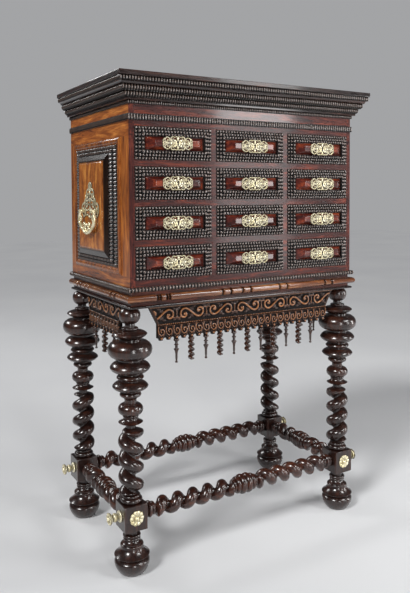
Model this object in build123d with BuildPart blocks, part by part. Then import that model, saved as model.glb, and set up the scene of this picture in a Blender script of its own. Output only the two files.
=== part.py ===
from build123d import *
import os

os.makedirs("parts", exist_ok=True)

# Drawer cabinet on a turned stand. Millimetres, +Z up, front towards -Y, origin on the floor
# under the middle of the whole object.

# ------------------------------------------------------------------ cabinet, driving dimensions
drawer_columns = 3
drawer_rows = 4
front_width = 257.0            # one drawer front, left to right
front_height = 97.5
front_thickness = 18.0
side_clearance = 0.5           # between a drawer and each wall of its opening
top_clearance = 0.7            # above a drawer front
runner_clearance = 0.3         # below a drawer
body_depth = 500.0
carcass_side_thickness = 17.0
partition_thickness = 17.0
rail_height = 18.5             # dust boards between the rows, seen as rails
top_rail_height = 16.0         # dust board above the top row
bottom_board_thickness = 20.0
back_panel_thickness = 12.0
top_board_thickness = 15.0

# ------------------------------------------------------------------ drawers, driving dimensions
drawer_back_air = 8.0          # behind a closed drawer
drawer_side_thickness = 9.0
drawer_bottom_thickness = 7.0
drawer_back_thickness = 9.0
drawer_side_drop = 14.0        # sides stop this far below the top of the front
ripple_strip_width = 9.3       # one of the three ripples of a drawer's frame
ripple_strip_count = 3
ripple_strip_height = 4.0      # the outermost ripple above the board
ripple_strip_rise = 3.5        # each next ripple above the one outside it
block_end_margin = 5.0         # ground left bare at the ends of the raised block
block_top_margin = 2.0         # ground left bare above and below it
block_edge_height = 4.0        # upright edge of the raised block
block_height = 24.0
block_end_slope = 24.0         # run of the sloping ends
block_top_slope = 11.0         # run of the long slopes
plate_length = 102.0           # pierced escutcheon
plate_height = 43.0
plate_thickness = 2.0
plate_body_half_length = 32.0
plate_body_half_height = 17.0
plate_end_radius = 13.5
plate_lobe_radius = 9.0
plate_lobe_offset = 18.0
keyhole_length = 12.0
keyhole_width = 5.0
lock_case_width = 52.0
lock_case_height = 46.0
lock_case_thickness = 10.0
lock_case_chamfer = 1.5

# ------------------------------------------------------------------ side panels
side_frame_front_margin = 60.0 # from the carcass side's front edge to the bolection moulding
side_frame_back_margin = 47.0
side_frame_bottom_margin = 31.0
side_frame_top_margin = 45.0
bolection_width = 21.0
bolection_height = 7.0
bolection_edge = 3.0
side_ripple_width = 24.0       # of the top and bottom lengths
side_upright_ripple_width = 47.0
side_ripple_outer_height = 5.0
side_ripple_inner_height = 13.0
panel_edge_height = 13.0
panel_height = 22.0            # field of the raised panel above the carcass side
panel_slope = 24.0             # run of the panel's bevel
panel_clearance = 0.5          # between the panel and the ripple frame

# ------------------------------------------------------------------ cornice, rows from the bottom up
lower_ripple_height = 18.0
lower_ripple_reach = 6.0
frieze_height = 28.0
frieze_thickness = 20.0
bead_row_height = 10.0
bead_row_reach = 6.0
plain_step_height = 7.0
plain_step_reach = 13.0
low_ripple_height = 16.0
low_ripple_reach = 22.0
high_ripple_height = 17.0
high_ripple_reach = 33.0
cove_height = 9.0
cove_bottom_reach = 35.0
cove_top_reach = 44.0
cove_sag = 1.5
top_ripple_height = 14.0
top_ripple_reach = 46.5
slab_thickness = 14.0
slab_reach = 49.0
slab_edge_radius = 2.0

# ------------------------------------------------------------------ base board and stand frame
base_board_height = 14.0
base_board_reach = 12.0
base_board_edge_radius = 5.0
stand_frame_height = 49.0
stand_frame_inset = 4.0        # rails behind the plane of the cabinet's sides
stand_rail_width = 62.0
half_round_height = 21.0
half_round_depth = 18.0
half_round_top_drop = 10.0     # below the top of the rails
bead_height = 8.0
bead_depth = 10.0
reel_groove_width = 5.0
reel_groove_depth = 11.0
reel_length = 26.0             # between the two grooves of a pair
front_reel_places = (-312.0, -96.0, 124.0, 316.0)
side_reel_places = (-150.0, 150.0)

# ------------------------------------------------------------------ legs
leg_inset_side = 17.0          # leg axis behind the plane of the cabinet's side
leg_inset_front = 44.0
block_side = 73.0
stretcher_block_height = 78.0
block_chamfer = 1.5
leg_twist_length = 200.0
leg_twist_radius = 38.5
leg_twist_groove_radius = 13.4
leg_twist_pitch = 53.0
leg_twist_start_angle = 15.0    # from straight outwards, towards the front or the back
leg_tenon_radius = 9.0
leg_tenon_length = 30.0
tenon_clearance = 0.05
floor_ring_radius = 34.0
lens_rim = 3.0                 # flat rim of a thin disc
lens_bulge = 2.0
bowl_widest = 0.72             # how far up a bowl is widest; a bell is one upside down
bowl_bulge = 4.5
bowl_lip_bulge = 2.5

# Turned members: kind, height, largest radius, radius where the next member starts.
foot_members = (
    ("bowl", 50.0, 53.0, 38.0),
    ("bell", 54.0, 53.0, 22.0),
    ("bead", 10.0, 27.0, 18.0),
    ("neck", 20.0, 18.0, 18.0),
)
ring_members = (
    ("bead", 16.0, 33.0, 24.0),
    ("bead", 8.0, 27.0, 18.0),
)
baluster_members = (
    ("neck", 14.0, 15.0, 20.0),
    ("lens", 18.0, 38.0, 24.0),
    ("neck", 8.0, 24.0, 24.0),
    ("bead", 34.0, 38.0, 18.0),
    ("neck", 19.0, 18.0, 24.0),
    ("lens", 16.0, 32.5, 26.0),
    ("neck", 3.0, 26.0, 30.0),
    ("lens", 30.0, 54.0, 29.0),
    ("neck", 3.0, 29.0, 30.0),
    ("lens", 16.0, 41.0, 31.0),
    ("neck", 4.0, 31.0, 35.0),
    ("lens", 37.0, 60.5, 36.0),
    ("neck", 8.0, 36.0, 38.0),
    ("bead", 52.0, 67.0, 33.0),
    ("neck", 8.0, 33.0, 30.0),
    ("lens", 24.0, 52.0, 22.0),
    ("bead", 8.0, 25.0, 15.0),
    ("neck", 11.0, 15.0, 14.0),
    ("bead", 48.0, 32.5, 16.0),
)

# ------------------------------------------------------------------ stretchers
stretcher_height = 175.0       # axis above the floor
stretcher_tenon_radius = 10.0
stretcher_tenon_length = 20.0
stretcher_twist_radius = 30.0
stretcher_twist_groove_radius = 11.0
stretcher_twist_pitch = 54.0
stretcher_end_members = (
    ("bead", 12.0, 21.0, 16.0),
    ("bead", 14.0, 25.0, 16.0),
    ("bead", 12.0, 20.0, 16.0),
)
stretcher_middle_members = (
    ("bead", 10.0, 21.0, 17.0),
    ("bead", 14.0, 27.0, 20.0),
    ("bead", 22.0, 32.0, 24.0),
    ("bead", 22.0, 32.0, 20.0),
    ("bead", 14.0, 27.0, 17.0),
    ("bead", 10.0, 21.0, 16.0),
)

# ------------------------------------------------------------------ aprons and their drops
apron_thickness = 14.0
apron_inset = 20.0             # middle of the apron behind the plane of the cabinet
apron_knob_gap = 16.5          # between the apron's top corner and the knob of a leg
apron_panel_height = 56.0
apron_band_height = 50.0
apron_end_slant = 29.0
apron_lobe_pitch = 26.1
apron_lobe_depth = 8.0
apron_rim = 7.0                # raised border round the sunk ground of the carved panel
apron_ground_depth = 5.0
drop_pitch = 52.2
front_drop_count = 11
side_drop_pitch = 78.3
side_drop_count = 3
spindle_members = (
    ("bead", 6.0, 5.0, 3.0),
    ("neck", 18.0, 3.0, 6.5),
    ("bead", 9.0, 8.0, 4.0),
    ("neck", 5.0, 4.0, 6.0),
    ("neck", 24.0, 6.0, 9.0),
    ("bead", 12.0, 11.0, 8.0),
)
corkscrew_length = 62.0
corkscrew_radius = 11.0
corkscrew_groove_radius = 4.0
corkscrew_pitch = 15.5
corkscrew_cap_height = 9.0
corkscrew_cap_radius = 10.0
corkscrew_cap_end_radius = 8.0
drop_axis_radius = 2.0         # lowest point of a drop

# ------------------------------------------------------------------ brass on the stand and the sides
boss_radius = 22.5
boss_rim_height = 3.0
boss_height = 9.0
boss_dome_radius = 12.0
side_knob_stem_radius = 8.0
side_knob_members = (
    ("bead", 6.0, 17.0, 8.0),
    ("neck", 6.0, 8.0, 8.0),
    ("bead", 13.0, 13.0, 8.0),
    ("neck", 5.0, 8.0, 8.0),
    ("bead", 9.0, 18.0, 8.0),
    ("bead", 4.0, 8.0, 4.0),
)
handle_plate_thickness = 2.5
bail_pivot_height = 1078.0
# The bell-shaped plate as overlapping rounds: across, above the pivot line, radius.
handle_plate_rounds = (
    (0.0, 79.0, 14.0),
    (0.0, 53.0, 34.0),
    (0.0, 12.0, 34.0),
    (-28.0, 26.0, 26.0),
    (28.0, 26.0, 26.0),
    (-47.0, 6.0, 28.0),
    (47.0, 6.0, 28.0),
)
bail_half_span = 62.0          # rod axis at the pivot line
bail_drop = 68.0               # rod axis at its lowest, below the pivot line
bail_rod_radius = 4.5
bail_bud_radius = 7.0
bail_pin_radius = 2.5
bail_pin_clearance = 0.05
bail_standoff = 10.0           # pivot line in front of the plate
ear_width = 8.0
ear_height = 12.0
ear_gap = 2.0                  # between an ear and the bail's arm
ear_tip = 5.0                  # ear beyond the pivot line

# ------------------------------------------------------------------ places worked out from the above
cell_width = front_width + 2 * side_clearance
cell_height = front_height + top_clearance + runner_clearance
body_width = (
    2 * carcass_side_thickness
    + drawer_columns * cell_width
    + (drawer_columns - 1) * partition_thickness
)
half_width = body_width / 2

baluster_height = sum(member[1] for member in baluster_members)
foot_height = sum(member[1] for member in foot_members)
rings_height = sum(member[1] for member in ring_members)
block_bottom = foot_height
block_top = block_bottom + stretcher_block_height
twist_bottom = block_top + rings_height
twist_top = twist_bottom + leg_twist_length
frame_bottom = twist_top + baluster_height
frame_top = frame_bottom + stand_frame_height
body_bottom = frame_top + base_board_height
first_cell_bottom = body_bottom + bottom_board_thickness
cells_top = (
    first_cell_bottom + drawer_rows * cell_height + (drawer_rows - 1) * rail_height
)
drawers_top = cells_top + top_rail_height

cornice_rows = (
    ("lower_ripple", lower_ripple_height, lower_ripple_reach),
    ("frieze", frieze_height, 0.0),
    ("bead_row", bead_row_height, bead_row_reach),
    ("plain_step", plain_step_height, plain_step_reach),
    ("low_ripple", low_ripple_height, low_ripple_reach),
    ("high_ripple", high_ripple_height, high_ripple_reach),
    ("cove", cove_height, cove_top_reach),
    ("top_ripple", top_ripple_height, top_ripple_reach),
)
slab_bottom = drawers_top + sum(row[1] for row in cornice_rows)

leg_largest_radius = max(member[2] for member in baluster_members)
back_reach = max(leg_largest_radius - leg_inset_front, 0.0)
front_reach = max(slab_reach, back_reach)
front_y = -(body_depth + front_reach + back_reach) / 2 + front_reach
back_y = front_y + body_depth
middle_y = (front_y + back_y) / 2
leg_x = half_width - leg_inset_side
leg_front_y = front_y + leg_inset_front
leg_back_y = back_y - leg_inset_front
inner_depth = body_depth - back_panel_thickness


# ------------------------------------------------------------------ shared ways of making pieces
def board(x_span, y_span, z_span):
    """A plain board between three (low, high) pairs."""
    with BuildPart() as piece:
        with BuildSketch(Plane.XY.offset(z_span[0])):
            with Locations((sum(x_span) / 2, sum(y_span) / 2)):
                Rectangle(x_span[1] - x_span[0], y_span[1] - y_span[0])
        extrude(amount=z_span[1] - z_span[0])
    return piece.part


def write_node(name, pieces):
    """Write one node: a single piece, or a group of separate pieces."""
    node = pieces[0] if len(pieces) == 1 else Compound(children=list(pieces))
    node.label = name
    export_step(node, f"parts/{name}.step")


def frame_lengths(face, width, height, outline, upright_depth=None):
    """Four mitred lengths round a rectangle centred on a plane.

    outline lists the section's points as (inwards from the outer edge, out of the plane). The
    uprights have the same section, stretched to upright_depth where that is given.
    """
    depth = max(point[0] for point in outline)
    side_depth = depth if upright_depth is None else upright_depth
    upright_outline = [(point[0] * side_depth / depth, point[1]) for point in outline]
    rise = max(point[1] for point in outline)
    half = (width / 2, height / 2)
    corners = [(-half[0], -half[1]), (half[0], -half[1]), (half[0], half[1]), (-half[0], half[1])]
    runs = [face.x_dir, face.y_dir, -face.x_dir, -face.y_dir]
    lengths = []
    for number, (corner, run) in enumerate(zip(corners, runs)):
        after = corners[(number + 1) % 4]
        length, section_outline = (width, outline) if number % 2 == 0 else (height, upright_outline)
        start = face.from_local_coords((corner[0], corner[1], 0))
        section = Plane(origin=start, x_dir=runs[(number + 1) % 4], z_dir=run)
        inner = [
            (point[0] - side_depth * point[0] / abs(point[0]), point[1] - depth * point[1] / abs(point[1]))
            for point in (after, corner)
        ]
        with BuildPart() as piece:
            with BuildSketch(section):
                with BuildLine():
                    Polyline(*section_outline, close=True)
                make_face()
            extrude(amount=length)
            with BuildSketch(face):
                with BuildLine():
                    Polyline(corner, after, *inner, close=True)
                make_face()
            extrude(amount=rise, mode=Mode.INTERSECT)
        lengths.append(piece.part)
    return lengths


def three_sided_run(inset, reach, draw_section):
    """A moulding mitred round the front and both sides of the cabinet or the stand frame.

    inset is how far its back lies behind the cabinet's plane, reach how far its front stands out
    of that plane, and draw_section draws the section's lines as (outwards from the back, height).
    """
    left, right = -half_width + inset, half_width - inset
    front = front_y + inset
    depth = inset + reach
    plans = (
        ((left - depth, front - depth), (right + depth, front - depth), (right, front), (left, front)),
        ((left - depth, front - depth), (left, front), (left, back_y), (left - depth, back_y)),
        ((right + depth, front - depth), (right + depth, back_y), (right, back_y), (right, front)),
    )
    sections = (
        Plane(origin=(right + depth, front, 0), x_dir=(0, -1, 0), z_dir=(-1, 0, 0)),
        Plane(origin=(left, front - depth, 0), x_dir=(-1, 0, 0), z_dir=(0, 1, 0)),
        Plane(origin=(right, back_y, 0), x_dir=(1, 0, 0), z_dir=(0, -1, 0)),
    )
    side_length = back_y - front + depth
    amounts = (right - left + 2 * depth, side_length, side_length)
    pieces = []
    for plan, section, amount in zip(plans, sections, amounts):
        with BuildPart() as piece:
            with BuildSketch(section):
                with BuildLine():
                    draw_section()
                make_face()
            extrude(amount=amount)
            with BuildSketch(Plane.XY):
                with BuildLine():
                    Polyline(*plan, close=True)
                make_face()
            extrude(amount=slab_bottom, mode=Mode.INTERSECT)
        pieces.append(piece.part)
    return pieces


def square_section(depth, bottom, top):
    """Gives a function that draws a rectangle from the back of the moulding outwards."""
    def draw():
        Polyline((0, bottom), (depth, bottom), (depth, top), (0, top), close=True)
    return draw


def half_round_section(depth, bottom, top):
    """Gives a function that draws a moulding with a half-round front."""
    straight = depth - (top - bottom) / 2

    def draw():
        Line((0, bottom), (straight, bottom))
        ThreePointArc((straight, bottom), (depth, (bottom + top) / 2), (straight, top))
        Polyline((straight, top), (0, top), (0, bottom))
    return draw


def cove_section(bottom_depth, top_depth, bottom, top):
    """Gives a function that draws a hollow that widens upwards."""
    middle = ((bottom_depth + top_depth) / 2 - cove_sag, (bottom + top) / 2 + cove_sag)

    def draw():
        Line((0, bottom), (bottom_depth, bottom))
        ThreePointArc((bottom_depth, bottom), middle, (top_depth, top))
        Polyline((top_depth, top), (0, top), (0, bottom))
    return draw


def turned_outline(members, start_radius, start):
    """Draw turned members upwards from start and return where they end, as (radius, height)."""
    radius, height = start_radius, start
    for kind, rise, largest, next_radius in members:
        top = height + rise
        middle = height + rise / 2
        if kind == "bead":
            shoulder = largest - rise / 2
            low, high = max(radius, shoulder), max(next_radius, shoulder)
            if low > radius:
                Line((radius, height), (low, height))
            ThreePointArc((low, height), (largest, middle), (high, top))
            if high > next_radius:
                Line((high, top), (next_radius, top))
        elif kind == "lens":
            low, high = middle - lens_rim / 2, middle + lens_rim / 2
            below = ((radius + largest) / 2 + lens_bulge, (height + low) / 2 - lens_bulge)
            above = ((next_radius + largest) / 2 + lens_bulge, (high + top) / 2 + lens_bulge)
            ThreePointArc((radius, height), below, (largest, low))
            Line((largest, low), (largest, high))
            ThreePointArc((largest, high), above, (next_radius, top))
        elif kind in ("bowl", "bell"):
            is_bowl = kind == "bowl"
            widest = height + rise * (bowl_widest if is_bowl else 1 - bowl_widest)
            low_bulge, high_bulge = (bowl_bulge, bowl_lip_bulge) if is_bowl else (bowl_lip_bulge, bowl_bulge)
            below = ((radius + largest) / 2 + low_bulge, (height + widest) / 2 - low_bulge)
            above = ((next_radius + largest) / 2 + high_bulge, (widest + top) / 2 + high_bulge)
            ThreePointArc((radius, height), below, (largest, widest))
            ThreePointArc((largest, widest), above, (next_radius, top))
        else:
            Polyline((radius, height), (largest, middle), (next_radius, top))
        radius, height = next_radius, top
    return radius, height


def turned_stack(plane, members, start_radius, start):
    """Turned members round a plane's normal, from start upwards along it."""
    section = Plane(origin=plane.origin, x_dir=plane.x_dir, z_dir=-plane.y_dir)
    with BuildPart() as piece:
        with BuildSketch(section):
            with BuildLine():
                radius, top = turned_outline(members, start_radius, start)
                Polyline((radius, top), (0, top), (0, start), (start_radius, start))
            make_face()
        revolve(axis=Axis(plane.origin, plane.z_dir))
    return piece.part


def twist(plane, start, length, outer, groove, pitch, hand, start_angle=0.0):
    """A single twist: a round section off the axis, turned as it rises. hand 1 is right-handed."""
    with BuildPart() as piece:
        with BuildSketch(plane.offset(start)) as section:
            with PolarLocations((outer - groove) / 2, 1, start_angle=start_angle):
                Circle((outer + groove) / 2)
        add(
            Solid.extrude_linear_with_rotation(
                section.sketch.face(),
                center=plane.from_local_coords((0, 0, start)),
                normal=plane.z_dir * length,
                angle=hand * 360 * length / pitch,
            )
        )
    return piece.part


# ------------------------------------------------------------------ drawers
drawer_length = inner_depth - drawer_back_air
ripple_frame_width = ripple_strip_count * ripple_strip_width


def ripple_outline():
    """Section of a drawer's ripple frame: steps that rise inwards."""
    points = [(0.0, 0.0)]
    for number in range(ripple_strip_count):
        height = ripple_strip_height + number * ripple_strip_rise
        points.append((number * ripple_strip_width, height))
        points.append(((number + 1) * ripple_strip_width, height))
    points.append((ripple_frame_width, 0.0))
    return points


def raised_block(face):
    """The hipped block in the middle of a drawer front."""
    base = (
        front_width - 2 * (ripple_frame_width + block_end_margin),
        front_height - 2 * (ripple_frame_width + block_top_margin),
    )
    field = (base[0] - 2 * block_end_slope, base[1] - 2 * block_top_slope)
    with BuildPart() as piece:
        with BuildSketch(face):
            Rectangle(*base)
        extrude(amount=block_edge_height)
        with BuildSketch(face.offset(block_edge_height)):
            Rectangle(*base)
        with BuildSketch(face.offset(block_height)):
            Rectangle(*field)
        loft()
    return piece.part


def escutcheon(face):
    """The pierced plate over the keyhole, as its outer shape."""
    end_place = plate_length / 2 - plate_end_radius
    lobe_place = plate_height / 2 - plate_lobe_radius
    with BuildPart() as piece:
        with BuildSketch(face.offset(block_height)):
            Ellipse(plate_body_half_length, plate_body_half_height)
            with Locations((-end_place, 0), (end_place, 0)):
                Circle(plate_end_radius)
            with GridLocations(2 * plate_lobe_offset, 2 * lobe_place, 2, 2):
                Circle(plate_lobe_radius)
            SlotOverall(keyhole_length, keyhole_width, rotation=90, mode=Mode.SUBTRACT)
        extrude(amount=plate_thickness)
    return piece.part


def lock_case(face):
    """The iron lock on the inside of the front board."""
    inside = face.offset(-front_thickness)
    with BuildPart() as piece:
        with BuildSketch(inside):
            Rectangle(lock_case_width, lock_case_height)
        extrude(amount=-lock_case_thickness)
        back_edges = piece.faces().sort_by(Axis.Y)[-1].edges()
        chamfer(back_edges, lock_case_chamfer)
    return piece.part


for row in range(drawer_rows):
    for column in range(drawer_columns):
        name = f"drawer_r{row + 1}c{column + 1}"
        cell_left = -half_width + carcass_side_thickness + column * (cell_width + partition_thickness)
        cell_bottom = first_cell_bottom + (drawer_rows - 1 - row) * (cell_height + rail_height)
        left = cell_left + side_clearance
        right = left + front_width
        bottom = cell_bottom + runner_clearance
        board_back = front_y + front_thickness
        drawer_end = front_y + drawer_length
        sides_bottom = bottom + drawer_bottom_thickness
        sides_top = bottom + front_height - drawer_side_drop
        inner_left = left + drawer_side_thickness
        inner_right = right - drawer_side_thickness
        side_z = (sides_bottom, sides_top)
        write_node(
            f"{name}_box",
            [
                board((left, right), (front_y, board_back), (bottom, bottom + front_height)),
                board((left, right), (board_back, drawer_end), (bottom, sides_bottom)),
                board((left, inner_left), (board_back, drawer_end), side_z),
                board((inner_right, right), (board_back, drawer_end), side_z),
                board((inner_left, inner_right), (drawer_end - drawer_back_thickness, drawer_end), side_z),
            ],
        )
        face = Plane(
            origin=((left + right) / 2, front_y, bottom + front_height / 2),
            x_dir=(1, 0, 0),
            z_dir=(0, -1, 0),
        )
        ripple_frame = frame_lengths(face, front_width, front_height, ripple_outline())
        write_node(f"{name}_face", ripple_frame + [raised_block(face)])
        write_node(f"{name}_lock", [escutcheon(face), lock_case(face)])

# ------------------------------------------------------------------ carcass
side_z = (body_bottom, slab_bottom)
inner_left = -half_width + carcass_side_thickness
inner_right = half_width - carcass_side_thickness
panel_front = back_y - back_panel_thickness
write_node("carcass_side_left", [board((-half_width, inner_left), (front_y, back_y), side_z)])
write_node("carcass_side_right", [board((inner_right, half_width), (front_y, back_y), side_z)])
write_node(
    "carcass_bottom",
    [board((inner_left, inner_right), (front_y, panel_front), (body_bottom, first_cell_bottom))],
)
write_node("back_panel", [board((inner_left, inner_right), (panel_front, back_y), side_z)])
write_node(
    "carcass_top",
    [
        board(
            (inner_left, inner_right),
            (front_y + frieze_thickness, panel_front),
            (slab_bottom - top_board_thickness, slab_bottom),
        )
    ],
)

dividers = [board((inner_left, inner_right), (front_y, panel_front), (cells_top, drawers_top))]
for column in range(1, drawer_columns):
    partition_left = inner_left + column * cell_width + (column - 1) * partition_thickness
    partition_x = (partition_left, partition_left + partition_thickness)
    dividers.append(board(partition_x, (front_y, panel_front), (first_cell_bottom, cells_top)))
for row in range(1, drawer_rows):
    rail_bottom = first_cell_bottom + row * cell_height + (row - 1) * rail_height
    for column in range(drawer_columns):
        cell_left = inner_left + column * (cell_width + partition_thickness)
        dividers.append(
            board(
                (cell_left, cell_left + cell_width),
                (front_y, panel_front),
                (rail_bottom, rail_bottom + rail_height),
            )
        )
write_node("drawer_dividers", dividers)

# ------------------------------------------------------------------ side panels
frame_length = body_depth - side_frame_front_margin - side_frame_back_margin
frame_middle_y = front_y + side_frame_front_margin + frame_length / 2
frame_height = drawers_top - body_bottom - side_frame_bottom_margin - side_frame_top_margin
frame_middle_z = body_bottom + side_frame_bottom_margin + frame_height / 2
bolection_outline = [
    (0, 0),
    (0, bolection_edge),
    (bolection_width / 2, bolection_height),
    (bolection_width, bolection_edge),
    (bolection_width, 0),
]
side_ripple_outline = [
    (0, 0),
    (0, side_ripple_outer_height),
    (side_ripple_width, side_ripple_inner_height),
    (side_ripple_width, 0),
]
ripple_length = frame_length - 2 * bolection_width
ripple_height = frame_height - 2 * bolection_width
panel_length = ripple_length - 2 * (side_upright_ripple_width + panel_clearance)
panel_tall = ripple_height - 2 * (side_ripple_width + panel_clearance)
side_pieces = []
side_faces = []
for hand in (-1, 1):
    face = Plane(
        origin=(hand * half_width, frame_middle_y, frame_middle_z),
        x_dir=(0, hand, 0),
        z_dir=(hand, 0, 0),
    )
    side_faces.append(face)
    side_pieces += frame_lengths(face, frame_length, frame_height, bolection_outline)
    side_pieces += frame_lengths(
        face, ripple_length, ripple_height, side_ripple_outline, side_upright_ripple_width
    )
    with BuildPart() as panel:
        with BuildSketch(face):
            Rectangle(panel_length, panel_tall)
        extrude(amount=panel_edge_height)
        with BuildSketch(face.offset(panel_edge_height)):
            Rectangle(panel_length, panel_tall)
        with BuildSketch(face.offset(panel_height)):
            Rectangle(panel_length - 2 * panel_slope, panel_tall - 2 * panel_slope)
        loft()
    side_pieces.append(panel.part)
write_node("side_frames", side_pieces)

# ------------------------------------------------------------------ cornice
cornice = [board((inner_left, inner_right), (front_y, front_y + frieze_thickness), (drawers_top, slab_bottom))]
row_bottom = drawers_top
for row_name, row_height, row_reach in cornice_rows:
    row_top = row_bottom + row_height
    if row_name == "cove":
        section = cove_section(cove_bottom_reach, cove_top_reach, row_bottom, row_top)
    else:
        section = square_section(row_reach, row_bottom, row_top)
    if row_reach > 0:
        cornice += three_sided_run(0.0, row_reach, section)
    row_bottom = row_top
with BuildPart() as slab:
    with BuildSketch(Plane.XY.offset(slab_bottom)):
        with Locations((0, (front_y - slab_reach + back_y) / 2)):
            Rectangle(body_width + 2 * slab_reach, body_depth + slab_reach)
    extrude(amount=slab_thickness)
    fillet(slab.faces().sort_by(Axis.Z)[-1].edges(), slab_edge_radius)
cornice.append(slab.part)
write_node("cornice", cornice)

# ------------------------------------------------------------------ base board
with BuildPart() as base_board:
    with BuildSketch(Plane.XY.offset(frame_top)):
        with Locations((0, (front_y - base_board_reach + back_y) / 2)):
            Rectangle(body_width + 2 * base_board_reach, body_depth + base_board_reach)
    extrude(amount=base_board_height)
    rounded = [
        edge
        for edge in base_board.edges().filter_by(Axis.Z, reverse=True)
        if edge.center().Y < back_y - base_board_edge_radius
    ]
    fillet(rounded, base_board_edge_radius)
write_node("base_board", [base_board.part])

# ------------------------------------------------------------------ stand frame
rail_left = -half_width + stand_frame_inset
rail_right = half_width - stand_frame_inset
rail_front = front_y + stand_frame_inset
rail_z = (frame_bottom, frame_top)
leg_places = {
    "front_left": (-leg_x, leg_front_y),
    "front_right": (leg_x, leg_front_y),
    "back_left": (-leg_x, leg_back_y),
    "back_right": (leg_x, leg_back_y),
}


def long_rail(y_span, leg_y):
    """A front or back rail with the holes for two leg tenons."""
    with BuildPart() as piece:
        add(board((rail_left, rail_right), y_span, rail_z))
        with BuildSketch(Plane.XY.offset(frame_bottom)):
            with Locations((-leg_x, leg_y), (leg_x, leg_y)):
                Circle(leg_tenon_radius + tenon_clearance)
        extrude(amount=leg_tenon_length + tenon_clearance, mode=Mode.SUBTRACT)
    return piece.part


side_rail_y = (rail_front + stand_rail_width, back_y - stand_rail_width)
stand_frame = [
    long_rail((rail_front, rail_front + stand_rail_width), leg_front_y),
    long_rail((back_y - stand_rail_width, back_y), leg_back_y),
    board((rail_left, rail_left + stand_rail_width), side_rail_y, rail_z),
    board((rail_right - stand_rail_width, rail_right), side_rail_y, rail_z),
]
half_round_top = frame_top - half_round_top_drop
half_round_bottom = half_round_top - half_round_height
half_round_reach = half_round_depth - stand_frame_inset
half_rounds = three_sided_run(
    stand_frame_inset,
    half_round_reach,
    half_round_section(half_round_depth, half_round_bottom, half_round_top),
)
groove_offset = (reel_length + reel_groove_width) / 2
groove_places = [
    [place + side * groove_offset for place in places for side in (-1, 1)]
    for places in (front_reel_places, side_reel_places, side_reel_places)
]
groove_middle_z = (half_round_bottom + half_round_top) / 2
for length, places, axis_name in zip(half_rounds, groove_places, ("front", "left", "right")):
    with BuildPart() as grooved:
        add(length)
        for place in places:
            if axis_name == "front":
                centre = (place, front_y - half_round_reach, groove_middle_z)
                size = (reel_groove_width, 2 * reel_groove_depth, half_round_height)
            else:
                hand = -1 if axis_name == "left" else 1
                centre = (hand * (half_width + half_round_reach), middle_y + place, groove_middle_z)
                size = (2 * reel_groove_depth, reel_groove_width, half_round_height)
            with Locations(centre):
                Box(*size, mode=Mode.SUBTRACT)
    stand_frame.append(grooved.part)
stand_frame += three_sided_run(
    stand_frame_inset,
    bead_depth - stand_frame_inset,
    half_round_section(bead_depth, frame_bottom, frame_bottom + bead_height),
)
write_node("stand_frame", stand_frame)

# ------------------------------------------------------------------ legs
leg_twist_hands = {"front_left": -1, "front_right": 1, "back_left": 1, "back_right": -1}
for place_name, (x, y) in leg_places.items():
    foot_plane = Plane(origin=(x, y, 0), x_dir=(1, 0, 0), z_dir=(0, 0, 1))
    inward_x = -1 if x > 0 else 1
    inward_y = -1 if y > middle_y else 1
    outwards = 0 if inward_x < 0 else 180
    start_angle = outwards + leg_twist_start_angle * inward_x * inward_y
    twist_sizes = (leg_twist_radius, leg_twist_groove_radius, leg_twist_pitch)
    with BuildPart() as leg:
        add(turned_stack(foot_plane, foot_members, floor_ring_radius, 0.0))
        add(board((x - block_side / 2, x + block_side / 2), (y - block_side / 2, y + block_side / 2),
                  (block_bottom, block_top)))
        chamfer(leg.edges().filter_by(Axis.Z).filter_by(GeomType.LINE), block_chamfer)
        add(turned_stack(foot_plane, ring_members, ring_members[-1][3], block_top))
        hand = leg_twist_hands[place_name]
        add(twist(foot_plane, twist_bottom, leg_twist_length, *twist_sizes, hand, start_angle))
        add(turned_stack(foot_plane, baluster_members, baluster_members[0][2], twist_top))
        with BuildSketch(Plane.XY.offset(frame_bottom)):
            with Locations((x, y)):
                Circle(leg_tenon_radius)
        extrude(amount=leg_tenon_length)
        for direction in ((inward_x, 0, 0), (0, inward_y, 0)):
            mouth = Vector(x, y, stretcher_height) + Vector(*direction) * (block_side / 2)
            with BuildSketch(Plane(origin=mouth, z_dir=direction)):
                Circle(stretcher_tenon_radius + tenon_clearance)
            extrude(amount=-(stretcher_tenon_length + tenon_clearance), mode=Mode.SUBTRACT)
    write_node(f"leg_{place_name}", [leg.part])


# ------------------------------------------------------------------ stretchers
def stretcher(start, direction, length, first_hand):
    """One stretcher from block face to block face, with a tenon at each end."""
    axis_plane = Plane(origin=start, z_dir=direction)
    end_length = sum(member[1] for member in stretcher_end_members)
    middle_length = sum(member[1] for member in stretcher_middle_members)
    twist_length = (length - middle_length) / 2 - end_length
    sizes = (stretcher_twist_radius, stretcher_twist_groove_radius, stretcher_twist_pitch)
    far_plane = Plane(origin=axis_plane.from_local_coords((0, 0, length)), z_dir=-axis_plane.z_dir)
    with BuildPart() as piece:
        for plane, hand in ((axis_plane, first_hand), (far_plane, -first_hand)):
            with BuildSketch(plane.offset(-stretcher_tenon_length)):
                Circle(stretcher_tenon_radius)
            extrude(amount=stretcher_tenon_length)
            add(turned_stack(plane, stretcher_end_members, stretcher_end_members[-1][3], 0.0))
            add(twist(plane, end_length, twist_length, *sizes, hand))
        middle_start = end_length + twist_length
        add(turned_stack(axis_plane, stretcher_middle_members, stretcher_middle_members[-1][3], middle_start))
    return piece.part


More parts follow.
